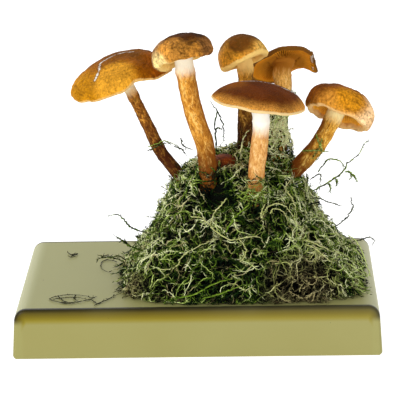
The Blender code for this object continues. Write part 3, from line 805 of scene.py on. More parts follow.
def buildButton():
    shape = bmesh.new()
    bmesh.ops.create_uvsphere(shape, u_segments=button["segments"], v_segments=button["rings"], radius=1.0)
    for v in shape.verts:
        place = v.co * button["reliefSize"]
        lump = noise.noise(place / button["lumps"][0]) * button["lumps"][1]
        grain = noise.noise(place / button["grain"][0]) * button["grain"][1]
        swell = 1 - button["inside"] + (lump + grain) / button["radius"]
        wide, high = button["radius"], button["height"]
        v.co = Vector((v.co.x * wide, v.co.y * wide, v.co.z * high)) * swell
    bmesh.ops.translate(shape, vec=button["centre"], verts=shape.verts)
    made, start = newMaterial("button_skin")
    place = start.place()
    mottle, grain = (start.noise(place, *button[key]) for key in ("mottle", "pores"))
    skin = mottle.between(0.4, 0.65).mix(paint(*button["skin"]), paint(*button["dark"]))
    skin = (grain.between(0.55, 0.7) * 0.6).mix(skin, paint(*button["pale"]))
    closeMaterial(
        start, Base_Color=skin, Roughness=0.5 + grain * 0.3, Normal=start.bump(grain, 0.5, 0.3),
        Specular_IOR_Level=0.1,
    )
    finishPiece("button_dome", shape, made, ("young_button",))


# Base
base = {
    "width": 180.0,
    "depth": 120.0,
    "height": 24.5,
    "draft": 0.057,
    "endRadius": 6.0,
    "endSteps": 14,
    "footRadius": 1.4,
    "footSteps": 5,
    "edgeRadius": 1.8,
    "edgeSteps": 8,
    "lid": (146, 145, 90),
    "ends": (170, 170, 126),  # the rounding at both ends, painted lighter as a painted highlight
    "side": (149, 144, 87),
    "reflectionLineFrom": 55.4,  # how far out the painted reflection, a dark line under both long edges, begins
    "stops": ((0.0, (16, 12, 0)), (0.12, (30, 24, 0)), (0.22, (56, 46, 0)), (0.31, (82, 70, 0)),
              (0.42, (98, 84, 2)),
              (0.52, (112, 98, 10)), (0.63, (126, 112, 22)), (0.73, (138, 126, 44)),
              (0.9, (147, 141, 84))),  # a painted reflection of a dark room, dark then golden, down both long sides from there, in centimetres
    "speck": (44, 38, 22),
    "haze": (180, 178, 128),
    "cloud": (60.0, 3.0, 0.5),
    "grain": (0.6, 2.0, 0.5),
    "dust": (2.2, 2.0, 0.4),
    "sideHeights": (16.0, 20.0),  # between them the long sides' painted reflection replaces their plain colour
    "endHeights": (10.0, 20.0),  # between them the ends turn from the side's colour to their own lighter one, a painted highlight
    "endFrom": (80.0, 86.0),  # between them the lid's colour turns to the ends'
}


def baseOutline():  # points (x, z) of the right half of the front, and where each faces
    tilt = math.atan(base["draft"])
    foot, end = base["footRadius"], base["endRadius"]
    halfWidth, endHeight = base["width"] / 2, base["height"] - end
    arcs = (
        (halfWidth - foot, foot, foot, -math.pi / 2, -tilt / 2, base["footSteps"]),
        (halfWidth - base["draft"] * endHeight - end, endHeight, end, tilt, math.pi / 2, base["endSteps"]),
    )
    points = []
    for x, z, radius, begin, stop, steps in arcs:
        for i in range(steps + 1):
            angle = begin + (stop - begin) * i / steps
            across, up = math.cos(angle), math.sin(angle)
            points.append((x + radius * across, z + radius * up, across, up))
    return points


def buildBase():
    right = baseOutline()
    outline = right + [(-x, z, -across, up) for x, z, across, up in reversed(right)]
    radius, halfDepth = base["edgeRadius"], base["depth"] / 2
    front = []
    for i in range(base["edgeSteps"] + 1):
        angle = math.pi / 2 * i / base["edgeSteps"]
        front.append((radius * (1 - math.sin(angle)), halfDepth - radius * (1 - math.cos(angle))))
    rings = [(inset, -away) for inset, away in front] + [(inset, away) for inset, away in reversed(front)]
    shape = bmesh.new()
    loops = []
    for inset, y in rings:
        ring = []
        for x, z, across, up in outline:
            rise = z - inset * max(up, 0.0)
            deep = y * (1 - base["draft"] * rise / halfDepth)
            ring.append(shape.verts.new((x - inset * across, deep, rise)))
        loops.append([shape.edges.new(pair) for pair in zip(ring, ring[1:] + ring[:1])])
    for before, after in zip(loops, loops[1:]):
        bmesh.ops.bridge_loops(shape, edges=before + after)
    bmesh.ops.edgeloop_fill(shape, edges=loops[0])
    bmesh.ops.edgeloop_fill(shape, edges=loops[-1])
    bmesh.ops.recalc_face_normals(shape, faces=shape.faces)
    piece = finishPiece("base_block", shape, baseMaterial(), ("base",))
    piece.modifiers.new("even_shading", "WEIGHTED_NORMAL")


def baseMaterial():
    made, start = newMaterial("olive_plastic")
    place = start.place()
    across, deep, height = (place.axis(letter) for letter in "XYZ")
    end = base["endRadius"] * mm
    cornerHeight = base["height"] * mm - end
    cornerAcross = (base["width"] / 2 - base["draft"] * (base["height"] - base["endRadius"])) * mm - end
    cloud, grain, dust = (start.noise(place, *base[key]) for key in ("cloud", "grain", "dust"))
    past = (abs(across) - cornerAcross).atLeast(0.0)
    above = (height - cornerHeight).atLeast(0.0)
    below = (cornerHeight - height).atLeast(0.0)
    middle = 1 - (past * (1 / end)).between(0.0, 1.0)
    forward = (abs(deep) - base["reflectionLineFrom"] * mm).atLeast(0.0)
    # painted reflection: the ramp along wayIn paints a dark line at the top of both long faces that fades
    # through gold to their plain colour
    wayIn = end - past.maths("SQRT", past * past + above * above) + below * middle + forward * 0.4
    stops = [(position, paint(*colour)) for position, colour in base["stops"]]
    shade = start.node("ValToRGB", {"stops": stops}, {0: wayIn * 100})
    sideHeights, endHeights, endFrom = (
        [part * mm for part in base[key]] for key in ("sideHeights", "endHeights", "endFrom")
    )
    lower = 1 - height.between(*sideHeights)
    side = ((1 - middle).between(0.0, 0.5) * lower).mix(shade, paint(*base["side"]))
    # painted highlight: the rounded ends are lighter than the lid and the long sides
    outside = height.between(*endHeights).mix(paint(*base["side"]), paint(*base["ends"]))
    outside = abs(across).between(*endFrom).mix(paint(*base["lid"]), outside)
    front = abs(deep).between((base["reflectionLineFrom"] - 0.1) * mm, (base["reflectionLineFrom"] + 0.4) * mm)
    colour = (front * wayIn.between(0.0, 0.0003)).mix(outside, side)
    colour = ((cloud - 0.5) * 0.25 + 0.05).mix(colour, paint(*base["haze"]))
    colour = (dust.between(0.78, 0.82) * 0.7).mix(colour, paint(*base["speck"]))
    closeMaterial(
        start, Base_Color=colour, Roughness=0.34 + grain * 0.08 + cloud * 0.05, Normal=start.bump(grain, 0.06,
                                                                                                  0.1),
        Specular_IOR_Level=0.12,
    )
    return made


# Moss: a near-black core, which stands partly for the shade deep in the moss, and strands that wander over
# the imported mound's own surface
core = {
    "footCentre": (21.0, -1.0),
    "topCentre": (20.6, 6.0),
    "halfWidth": 58.5,
    "halfDepth": 53.0,
    "height": 57.5,
    "inside": 8.5,  # how far the core lies inside the mound
    "squareness": 4.2,
    "profile": ((0.0, 0.97), (0.10, 1.0), (0.25, 0.89), (0.45, 0.745), (0.65, 0.61), (0.82, 0.48),
                (0.94, 0.35),
                (1.0, 0.16)),
    "sectors": 120,
    "rings": 48,
    "lumps": (4.0, 1.3),
}
mossFoot = 24.8  # height of the mound's underside


def coreShare(height):
    for (low, wide), (high, narrow) in zip(core["profile"], core["profile"][1:]):
        if height <= high:
            return wide + (narrow - wide) * (height - low) / (high - low)
    return core["profile"][-1][1]


def buildCore(material):
    shape = bmesh.new()
    side = [i / core["rings"] for i in range(core["rings"] + 1)]
    row = [shape.verts.new((0.0, 0.0, 0.0))]
    row += [shape.verts.new((coreShare(share), 0.0, share * core["height"])) for share in side]
    row.append(shape.verts.new((0.0, 0.0, core["height"] + 1.0)))
    turnRow(shape, row, core["sectors"])
    for v in shape.verts:
        share = min(v.co.z / core["height"], 1.0)
        angle = math.atan2(v.co.y, v.co.x)
        across, deep = abs(math.cos(angle)), abs(math.sin(angle))
        square = (across ** core["squareness"] + deep ** core["squareness"]) ** (-1 / core["squareness"])
        reach = math.hypot(v.co.x, v.co.y) * (square * (1 - share) + share)
        middle = Vector(core["footCentre"]).lerp(Vector(core["topCentre"]), share)
        lump = 1 + noise.noise(v.co / core["lumps"][0]) * core["lumps"][1] / core["halfWidth"]
        v.co.x = middle.x + reach * lump * (core["halfWidth"] - core["inside"]) * math.cos(angle)
        v.co.y = middle.y + reach * lump * (core["halfDepth"] - core["inside"]) * math.sin(angle)
        v.co.z += mossFoot
    bmesh.ops.recalc_face_normals(shape, faces=shape.faces)
    finishPiece("moss_core", shape, material, ("moss_mound",))


def sweep(name, lines, radii, outs, values, material, nodes=()):
    # Joined mesh of many closed three-sided strands: lines and outs (strands, rings, 3), radii
    # (strands, rings), values the attributes, each (strands, rings). One corner in three points along
    # outs and has the attribute ridge, which the material paints as a lit ridge between shaded flanks.
    count, rings = radii.shape
    ahead = unit(np.gradient(lines, axis=1))
    side = unit(np.cross(outs + np.array((0.013, 0.017, 0.011)), ahead))
    rise = np.cross(ahead, side)
    angle = math.pi / 2 + np.arange(3) * math.tau / 3
    wide, high = np.cos(angle)[:, None], np.sin(angle)[:, None]
    corners = wide * side[:, :, None, :] + high * rise[:, :, None, :]
    verts = lines[:, :, None, :] + radii[:, :, None, None] * corners
    index = np.arange(count * rings * 3).reshape(count, rings, 3)
    turned = np.roll(index, -1, axis=2)
    walls = np.stack([index[:, :-1], turned[:, :-1], turned[:, 1:], index[:, 1:]], axis=-1).reshape(-1, 4)
    ends = np.concatenate([index[:, 0, ::-1], index[:, -1]])
    mesh = bpy.data.meshes.new(name)
    mesh.from_pydata((verts.reshape(-1, 3) * mm).tolist(), [], walls.tolist() + ends.tolist())
    for key, numbers in values.items():
        layer = mesh.attributes.new(key, "FLOAT", "POINT")
        layer.data.foreach_set("value", np.repeat(numbers.reshape(-1), 3).astype(np.float32))
    layer = mesh.attributes.new("ridge", "FLOAT", "POINT")
    layer.data.foreach_set("value", np.tile(np.array((1.0, 0.0, 0.0), np.float32), count * rings))
    finishPiece(name, mesh, material, nodes)
    print(name, count, "strands", len(walls) * 2 + len(ends), "triangles")


bodyLayer = {
    "count": 2100, "rings": 10, "length": (4.5, 10.5), "thick": (0.25, 0.42), "depth": (-3.2, -0.9),
    "arch": 1.2, "lift": 1.0, "bend": 0.14, "wave": 0.22, "fall": 0.35, "tone": 0.44, "shoots": 5,
}
mossLayers = {  # length, thick and depth are from and to; depth is measured out of the mound's surface
    # the low layer's dark tone is painted shade for the depths of the moss, partly also its old, dark strands
    "moss_low": {
        "count": 2200, "rings": 7, "length": (4.0, 9.0), "thick": (0.45, 0.7), "depth": (-4.6, -2.8),
        "arch": 0.7, "lift": 0.5, "bend": 0.16, "wave": 0.16, "fall": 0.3, "tone": 0.04, "shoots": 0,
    },
    "moss_left": bodyLayer,
    "moss_right": bodyLayer,
    "moss_top": {
        "count": 1200, "rings": 12, "length": (7.0, 17.0), "thick": (0.3, 0.48), "depth": (-1.4, 0.2),
        "arch": 1.4, "lift": 1.3, "bend": 0.11, "wave": 0.2, "fall": 0.25, "tone": 0.8, "shoots": 9,
    },
    "moss_tips": {
        "count": 1500, "rings": 6, "length": (3.0, 7.0), "thick": (0.24, 0.38), "depth": (-1.6, 0.0),
        "arch": 0.4, "lift": 3.2, "bend": 0.2, "wave": 0.2, "fall": 0.0, "tone": 0.6, "shoots": 4,
    },
    "moss_spikes": {
        "count": 420, "rings": 7, "length": (4.0, 8.0), "thick": (0.24, 0.36), "depth": (-1.6, 0.0),
        "arch": 0.3, "lift": 6.0, "bend": 0.15, "wave": 0.2, "fall": 0.0, "tone": 0.5, "shoots": 5,
    },
    "moss_sleeve": {
        "count": 250, "rings": 10, "length": (5.0, 11.0), "thick": (0.28, 0.46), "depth": (-1.6, 0.4),
        "arch": 0.6, "lift": 0.9, "bend": 0.12, "wave": 0.22, "fall": -1.2, "tone": 1.15, "shoots": 5,
        # the sleeve gets only a share of the painted depth shade
        "above": 86.0, "under": 111.0, "depthShadeShare": 0.3,
    },
    "moss_fringe": {
        "count": 400, "rings": 9, "length": (3.0, 9.0), "thick": (0.24, 0.4), "fan": 0.7, "bend": 0.16,
        "tuck": 1.5, "tone": 0.26, "shoots": 4, "below": 29.0,
    },
}
mossForm = {
    "kink": 0.16,  # random shift of a strand's rings
    "clumps": (5.6, 2.3),  # sizes of the large and the small clumps
    "clumpHeight": 2.6,
    "stemClear": 0.4,
    "pocketClear": 0.8,  # faces of the mound nearer to a stem than this belong to its pocket
    "shade": (0.4, 3.0),  # depth at which strands begin to darken, and over how much more they do: painted shade of the moss's depths, partly also its old, dark inner strands
    "footClear": 0.3,
    "ceiling": 200.0,  # above all the moss
    "lidAcross": (-52.0, 84.0),  # how far the fringe may spread on the base
    "lidDeep": (-54.6, 54.6),
}
mossShoots = {  # small side shoots of the strands
    "rings": 2,
    "length": (0.6, 1.9),
    "thick": (0.16, 0.26),
    "forwards": 0.9,
    "scatter": 0.45,
    "curl": 0.3,
    "taper": 0.45,  # thickness of the tip as a share of the foot's
    "tone": -0.2,
}
mossShootPieces = ("moss_shoots", "moss_leaves", "moss_needles")
collars = {  # strands that wind round the foot of each stem
    "count": 30,
    "rings": 13,
    "length": (1.5, 5.5),
    "thick": (0.26, 0.42),
    "tone": 0.5,
    "swirl": 1.2,
}
mossZones = (  # centre, reach, change of tone, of age and of depth
    ((30.0, -51.0, 38.0), 28.0, -0.2, 0.0, 0.0),  # deep green low on the front
    ((0.0, -53.0, 30.0), 28.0, -0.34, 0.0, 0.0),
    ((-30.0, -48.0, 28.0), 18.0, -0.2, 0.2, 0.0),
    ((52.0, -52.0, 30.0), 24.0, -0.3, 0.85, 0.0),  # old brown moss at the front right corner
    ((60.0, -40.0, 47.0), 9.0, 0.35, 0.5, 0.8),  # dry pale tuft
    ((-36.0, -40.0, 31.0), 12.0, 0.0, 0.7, 0.0),
    ((9.0, -24.0, 75.0), 13.0, -1.3, 0.0, -4.5),  # hollows, sunk and with their tone lowered as painted shade
    ((40.0, -31.0, 62.0), 9.0, -1.2, 0.0, -4.0),
    ((28.0, -34.0, 64.0), 9.0, -1.1, 0.0, -3.4),
    ((-8.0, -36.0, 55.0), 6.0, -0.4, 0.0, -2.0),
    ((20.0, -40.0, 53.0), 7.0, -0.4, 0.0, -2.0),
    ((60.0, -44.0, 42.0), 7.0, -0.5, 0.0, -2.0),
    ((29.0, -28.0, 72.0), 9.0, 0.15, 0.0, 5.0),  # tufts in front of the stems' feet
    ((5.0, -18.0, 75.0), 7.0, 0.1, 0.0, 1.8),
    ((70.0, -12.0, 52.0), 34.0, 0.12, 0.0, -4.0),  # yellow-green right side
    ((84.0, -20.0, 34.0), 20.0, 0.12, 0.0, -3.0),
    ((64.0, -4.0, 68.0), 22.0, 0.1, 0.0, -2.0),
    ((80.0, 28.0, 46.0), 34.0, 0.0, 0.0, -4.5),
    ((-38.0, 28.0, 44.0), 32.0, 0.0, 0.0, -3.5),
    ((-36.0, -10.0, 46.0), 28.0, 0.0, 0.05, -3.0),
    ((42.0, 18.0, 98.0), 24.0, 0.3, 0.0, 0.0),  # moss that climbs the back stem
    ((51.0, 16.0, 100.0), 12.0, 0.0, 0.0, -5.0),
    ((20.0, -8.0, 82.0), 8.0, 0.1, 0.5, -0.5),
)
mossLook = {
    "stops": ((0.0, (3, 18, 5)), (0.2, (12, 42, 8)), (0.42, (52, 84, 14)), (0.64, (124, 154, 44)),
              (0.86, (208, 226, 130)), (1.0, (248, 252, 196))),
    "old": (46, 34, 14),
    "dry": (198, 184, 128),
    "deep": (4, 7, 2),
    "core": (6, 7, 4),
    "mottle": (1.5, 3.0, 0.65),
    "coreMottle": (3.0, 4.0, 0.6),
    "uneven": 0.55,  # how much the mottle changes a strand's tone
    "paleTip": 0.12,
}


def mossMaterial():
    made, start = newMaterial("moss_strands")
    place = start.place()
    tone, age, deep, tip, ridge = (start.value(key) for key in ("tone", "age", "deep", "tip", "ridge"))
    mottle = start.noise(place, *mossLook["mottle"])
    stops = [(position, paint(*colour)) for position, colour in mossLook["stops"]]
    shade = tone + (mottle - 0.5) * mossLook["uneven"] + tip * mossLook["paleTip"]
    green = start.node("ValToRGB", {"stops": stops}, {0: shade})
    old = (mottle + tone * 0.4).between(0.42, 0.8).mix(paint(*mossLook["old"]), paint(*mossLook["dry"]))
    colour = age.mix(green, old)
    # painted shade: strands deep in the moss darken towards near-black, partly also the colour of old inner
    # moss
    colour = deep.between(0.0, 0.9).mix(colour, paint(*mossLook["deep"]))
    # painted light and shade: each strand's outward ridge stays bright and its two other corners darken
    # towards near-black
    flank = 0.92 - tone.between(0.5, 1.1) * 0.4
    colour = ((1 - ridge.between(0.0, 0.6)) * flank).mix(colour, paint(*mossLook["deep"]))
    closeMaterial(start, Base_Color=colour, Roughness=0.6, Specular_IOR_Level=0.1)
    return made


def coreMaterial():
    made, start = newMaterial("moss_core")
    place = start.place()
    mottle = start.noise(place, *mossLook["coreMottle"])
    # painted shade: the core is near-black for the depths of the moss, partly also old dark moss
    colour = mottle.mix(paint(*mossLook["deep"]), paint(*mossLook["core"]))
    closeMaterial(
        start, Base_Color=colour, Roughness=0.95, Normal=start.bump(mottle, 0.8, 1.0),
        Specular_IOR_Level=0.1,
    )
    return made


def stemAxes():  # points down the middle of every stem, with their radii
    points, radii = [], []
    for mushroom in mushrooms.values():
        for centre, radius, _, _ in stemRings(mushroom, axisRings):
            points.append(centre)
            radii.append(radius)
    return np.array(points), np.array(radii)


def outOfStems(points, axes, radii, clear):  # moves points that are in a stem out to its surface
    gap = points[:, None, :] - axes[None]
    away = np.linalg.norm(gap, axis=2) - radii - clear
    nearest = away.argmin(axis=1)
    row = np.arange(len(points))
    inside = np.minimum(away[row, nearest], 0.0)
    outwards = gap[row, nearest]
    outwards /= np.linalg.norm(outwards, axis=1, keepdims=True) + 1e-9
    return points - outwards * inside[:, None]


def mossSurface(axes, radii):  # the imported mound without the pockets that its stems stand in
    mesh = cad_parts["moss_mound"].data
    corners = np.array([v.co for v in mesh.vertices]) / mm
    faces = np.array([list(face.vertices) for face in mesh.polygons if len(face.vertices) == 3])
    triangles = corners[faces]
    middle = triangles.mean(axis=1)
    away = (np.linalg.norm(middle[:, None, :] - axes[None], axis=2) - radii).min(axis=1)
    cross = np.cross(triangles[:, 1] - triangles[:, 0], triangles[:, 2] - triangles[:, 0])
    area = np.linalg.norm(cross, axis=1)
    underside = (cross[:, 2] < -0.9 * area) & (middle[:, 2] < mossFoot + 0.5)
    keep = (away > mossForm["pocketClear"]) & ~underside & (area > 1e-6)
    kept = faces[keep]
    tree = BVHTree.FromPolygons(corners.tolist(), kept.tolist())
    return tree, triangles[keep], area[keep]


def nearestOn(tree, points):  # nearest places on a surface, their directions, and the clumps' height there
    places, outs, clumps = np.empty_like(points), np.empty_like(points), np.empty(len(points))
    coarse, fine = mossForm["clumps"]
    for i, point in enumerate(points):
        place, out, _, _ = tree.find_nearest(Vector(point))
        places[i], outs[i] = place, out
        clumps[i] = noise.noise(place / coarse) + 0.5 * noise.noise(place / fine)
    return places, outs, clumps


def unit(vectors):
    return vectors / (np.linalg.norm(vectors, axis=-1, keepdims=True) + 1e-9)


def alongSurface(vectors, normals):
    return unit(vectors - normals * (vectors * normals).sum(axis=1, keepdims=True))


def zoneShares(points):  # change of tone, age and depth at each point
    change = np.zeros((len(points), 3))
    for centre, reach, tone, age, depth in mossZones:
        share = np.clip(1 - (np.linalg.norm(points - np.array(centre), axis=1) / reach) ** 2, 0, 1)
        change += share[:, None] * np.array((tone, age, depth))
    return change


def walk(chance, tree, axes, radii, starts, outs, layer):  # lines of strands that wander over the mound
    count, rings = len(starts), layer["rings"]
    step = chance.uniform(*layer["length"], count) / (rings - 1)
    depth = chance.uniform(*layer["depth"], count)
    arch, lift = (chance.uniform(0.2, 1.0, count) * layer[key] for key in ("arch", "lift"))
    bend = chance.normal(0, layer["bend"], count)
    phase, speed = chance.uniform(0, math.tau, count), chance.uniform(4, 11, count)
    heading = unit(chance.normal(0, 1, (count, 3)) + np.array((0, 0, -3.0)) * layer["fall"])
    heading = alongSurface(heading, outs)
    lines, faces = np.empty((count, rings, 3)), np.empty((count, rings, 3))
    deep = np.empty((count, rings))
    places, normals = starts.copy(), outs.copy()
    shadeFrom, shadeOver = mossForm["shade"]
    for k in range(rings):
        share = k / (rings - 1)
        places, newNormals, clumps = nearestOn(tree, places)
        normals = unit(normals * 0.5 + newNormals * 0.5)
        sunk = zoneShares(places)[:, 2]
        clumped = clumps * mossForm["clumpHeight"]
        height = depth + sunk + clumped + arch * math.sin(math.pi * share) + lift * share ** 2
        kink = chance.normal(0, mossForm["kink"], (count, 3)) if k else 0.0
        raised = places + normals * height[:, None] + kink
        lines[:, k] = outOfStems(raised, axes, radii, mossForm["stemClear"])
        # how deep each ring lies, for the painted depth shade
        deep[:, k] = (sunk - height - shadeFrom) / shadeOver
        faces[:, k] = normals
        turn = step * (bend + layer["wave"] * np.sin(speed * share + phase))
        heading = alongSurface(heading, normals)
        sideways = np.cross(normals, heading)
        heading = heading * np.cos(turn)[:, None] + sideways * np.sin(turn)[:, None]
        places = places + heading * step[:, None]
    lowest, highest = mossFoot + mossForm["footClear"], layer.get("under", mossForm["ceiling"])
    lines[..., 2] = np.clip(lines[..., 2], lowest, highest)
    return lines, np.clip(deep, 0, 1), faces


def leafy(chance, lines, thick, narrow=0.7):  # radii that make a strand look set with small leaves
    count, rings = lines.shape[:2]
    share = np.linspace(0, 1, rings)
    taper = (0.7 + 1.2 * share * (1 - share)) * (1 - 0.75 * share ** 2)
    leaf = np.where(np.arange(rings) % 2 == 1, 1.0, narrow)
    jitter = chance.uniform(0.85, 1.15, (count, rings))
    return thick[:, None] * taper * leaf * jitter


def sideShoots(chance, lines, faces, values, each):  # short shoots that stand off a set of strands
    rings, count = mossShoots["rings"], len(lines) * each
    host = np.repeat(np.arange(len(lines)), each)
    at = chance.integers(1, lines.shape[1] - 1, count)
    ahead = unit(lines[host, at + 1] - lines[host, at - 1])
    out = faces[host, at]
    flank = np.cross(ahead, out) * chance.choice((-1.0, 1.0), (count, 1))
    sideways = unit(flank + mossShoots["scatter"] * chance.normal(0, 1, (count, 3)))
    length = chance.uniform(*mossShoots["length"], count)[:, None, None]
    run = np.linspace(0, 1, rings)[None, :, None]
    aim = unit(ahead * mossShoots["forwards"] + sideways)[:, None]
    curl = mossShoots["curl"] * ahead[:, None] * run ** 2
    made = lines[host, at][:, None] + (aim * run + curl) * length
    made[..., 2] = np.maximum(made[..., 2], mossFoot + mossForm["footClear"])
    own = {key: np.repeat(numbers[host, at][:, None], rings, axis=1) for key, numbers in values.items()}
    own["tip"] = np.broadcast_to(np.linspace(0.5, 1, rings), (count, rings))
    own["deep"] = own["deep"] * np.linspace(1, 0.8, rings)
    own["tone"] = own["tone"] + mossShoots["tone"]
    taper = np.linspace(1, mossShoots["taper"], rings)
    thick = chance.uniform(*mossShoots["thick"], (count, 1)) * taper
    return made, thick, np.repeat(out[:, None], rings, axis=1), own


def spread(chance, starts, outs, layer):  # strands that lie on the base round the foot of the mound
    count, rings = len(starts), layer["rings"]
    flat = unit(outs * np.array((1.0, 1.0, 0.0)))
    angle = np.arctan2(flat[:, 1], flat[:, 0]) + chance.normal(0, layer["fan"], count)
    bend = chance.normal(0, layer["bend"], count)
    step = chance.uniform(*layer["length"], count) / (rings - 1)
    lines = np.empty((count, rings, 3))
    place = starts - flat * layer["tuck"]
    for k in range(rings):
        fall = (1 - k / (rings - 1)) ** 2
        lines[:, k] = place
        ripple = 0.25 * np.sin(k * 1.7 + angle * 5)
        lines[:, k, 2] = mossFoot + 0.5 + (starts[:, 2] - mossFoot) * fall + ripple
        turn = angle + bend * k
        place = place + np.stack([np.cos(turn), np.sin(turn), np.zeros(count)], axis=1) * step[:, None]
    lines[..., 0] = np.clip(lines[..., 0], *mossForm["lidAcross"])
    lines[..., 1] = np.clip(lines[..., 1], *mossForm["lidDeep"])
    upright = unit(flat + np.array((0.0, 0.0, 1.0)))
    return lines, np.zeros((count, rings)), np.repeat(upright[:, None], rings, axis=1)


def collarLines(chance, tree):  # strands round the foot of each stem, which run up it
    rows, faces = [], []
    for name, mushroom in mushrooms.items():
        if name == "back":  # it has its sleeve
            continue
        rings = stemRings(mushroom, axisRings)
        pitch = rings[-1][3] / axisRings
        buried = axisRings
        for i, (centre, radius, _, _) in enumerate(rings):
            place, out, _, _ = tree.find_nearest(centre)
            if (centre - place).dot(out) < 0.3 * radius:
                buried = i
                break
        for _ in range(collars["count"]):
            angle, swirl = chance.uniform(0, math.tau), chance.normal(0, collars["swirl"])
            length, low = chance.uniform(*collars["length"]), chance.uniform(-4.0, 0.0)
            off = chance.uniform(0.5, 1.1)
            away = chance.uniform(0.0, 1.0) ** 3 * 2.5
            row, face = [], []
            for k in range(collars["rings"]):
                share = k / (collars["rings"] - 1)
                climb = low + length * share
                centre, radius, up, _ = rings[max(0, min(axisRings, round(buried - climb / pitch)))]
                turn = angle + swirl * share
                reach = radius + off + away * share ** 2 + (1 - share) * 0.8
                place = Vector((reach * math.cos(turn), reach * math.sin(turn), 0.0))
                row.append(ringFrame(centre, up) @ place)
                face.append((row[-1] - centre).normalized())
            rows.append(row)
            faces.append(face)
    return np.array(rows), np.array(faces)


def startPlaces(chance, triangles, area, layer):  # random places on the mound, in the layer's own part of it
    middle = triangles.mean(axis=1)[:, 2]
    highest = layer.get("below", mossForm["ceiling"])
    weight = area * (middle > layer.get("above", 0.0)) * (middle < highest)
    pick = chance.choice(len(area), layer["count"], p=weight / weight.sum())
    a, b = np.sqrt(chance.random((layer["count"], 1))), chance.random((layer["count"], 1))
    tri = triangles[pick]
    starts = tri[:, 0] * (1 - a) + tri[:, 1] * a * (1 - b) + tri[:, 2] * a * b
    return starts, unit(np.cross(tri[:, 1] - tri[:, 0], tri[:, 2] - tri[:, 0]))


def strandValues(chance, lines, deep, tone):  # the attributes that the moss material reads
    count, rings = deep.shape
    change = zoneShares(lines.reshape(-1, 3)).reshape(count, rings, 3)
    return {
        "tone": tone + change[..., 0] + chance.normal(0, 0.34, (count, 1)),
        "age": np.clip(change[..., 1] + chance.choice((0.0,) * 9 + (0.7,), (count, 1)), 0, 1),
        "deep": deep,
        "tip": np.broadcast_to(np.linspace(0, 1, rings), deep.shape),
    }


def buildMoss():
    chance = np.random.default_rng(11)
    axes, radii = stemAxes()
    tree, triangles, area = mossSurface(axes, radii)
    material = mossMaterial()
    buildCore(coreMaterial())
    shoots = []
    for name, layer in mossLayers.items():
        starts, outs = startPlaces(chance, triangles, area, layer)
        if "below" in layer:
            lines, deep, faces = spread(chance, starts, outs, layer)
        else:
            lines, deep, faces = walk(chance, tree, axes, radii, starts, outs, layer)
        widths = leafy(chance, lines, chance.uniform(*layer["thick"], layer["count"]))
        values = strandValues(chance, lines, deep * layer.get("depthShadeShare", 1.0), layer["tone"])
        sweep(name, lines, widths, faces, values, material)
        if layer["shoots"]:
            shoots.append(sideShoots(chance, lines, faces, values, layer["shoots"]))
    lines, faces = collarLines(chance, tree)
    widths = leafy(chance, lines, chance.uniform(*collars["thick"], len(lines)))
    values = strandValues(chance, lines, np.zeros(widths.shape), collars["tone"])
    sweep("moss_collars", lines, widths, faces, values, material)
    shoots.append(sideShoots(chance, lines, faces, values, 3))
    lines, widths, faces = (np.concatenate([part[i] for part in shoots]) for i in (0, 1, 2))
    values = {key: np.concatenate([part[3][key] for part in shoots]) for key in shoots[0][3]}
    for i, name in enumerate(mossShootPieces):
        some = {key: numbers[i::len(mossShootPieces)] for key, numbers in values.items()}
        part = slice(i, None, len(mossShootPieces))
        sweep(name, lines[part], widths[part], faces[part], some, material)
    return material, chance, tree


# Single strands that stand out of the mound, each from its foot to its tip, with its side shoots
lidHeight = 25.0


def atDepth(y, *points):  # a line whose points (x, z) all lie at one depth
    return tuple((x, y, z) for x, z in points)


def onLid(*points):  # a line whose points (x, y) all lie on the base
    return tuple((x, y, lidHeight) for x, y in points)


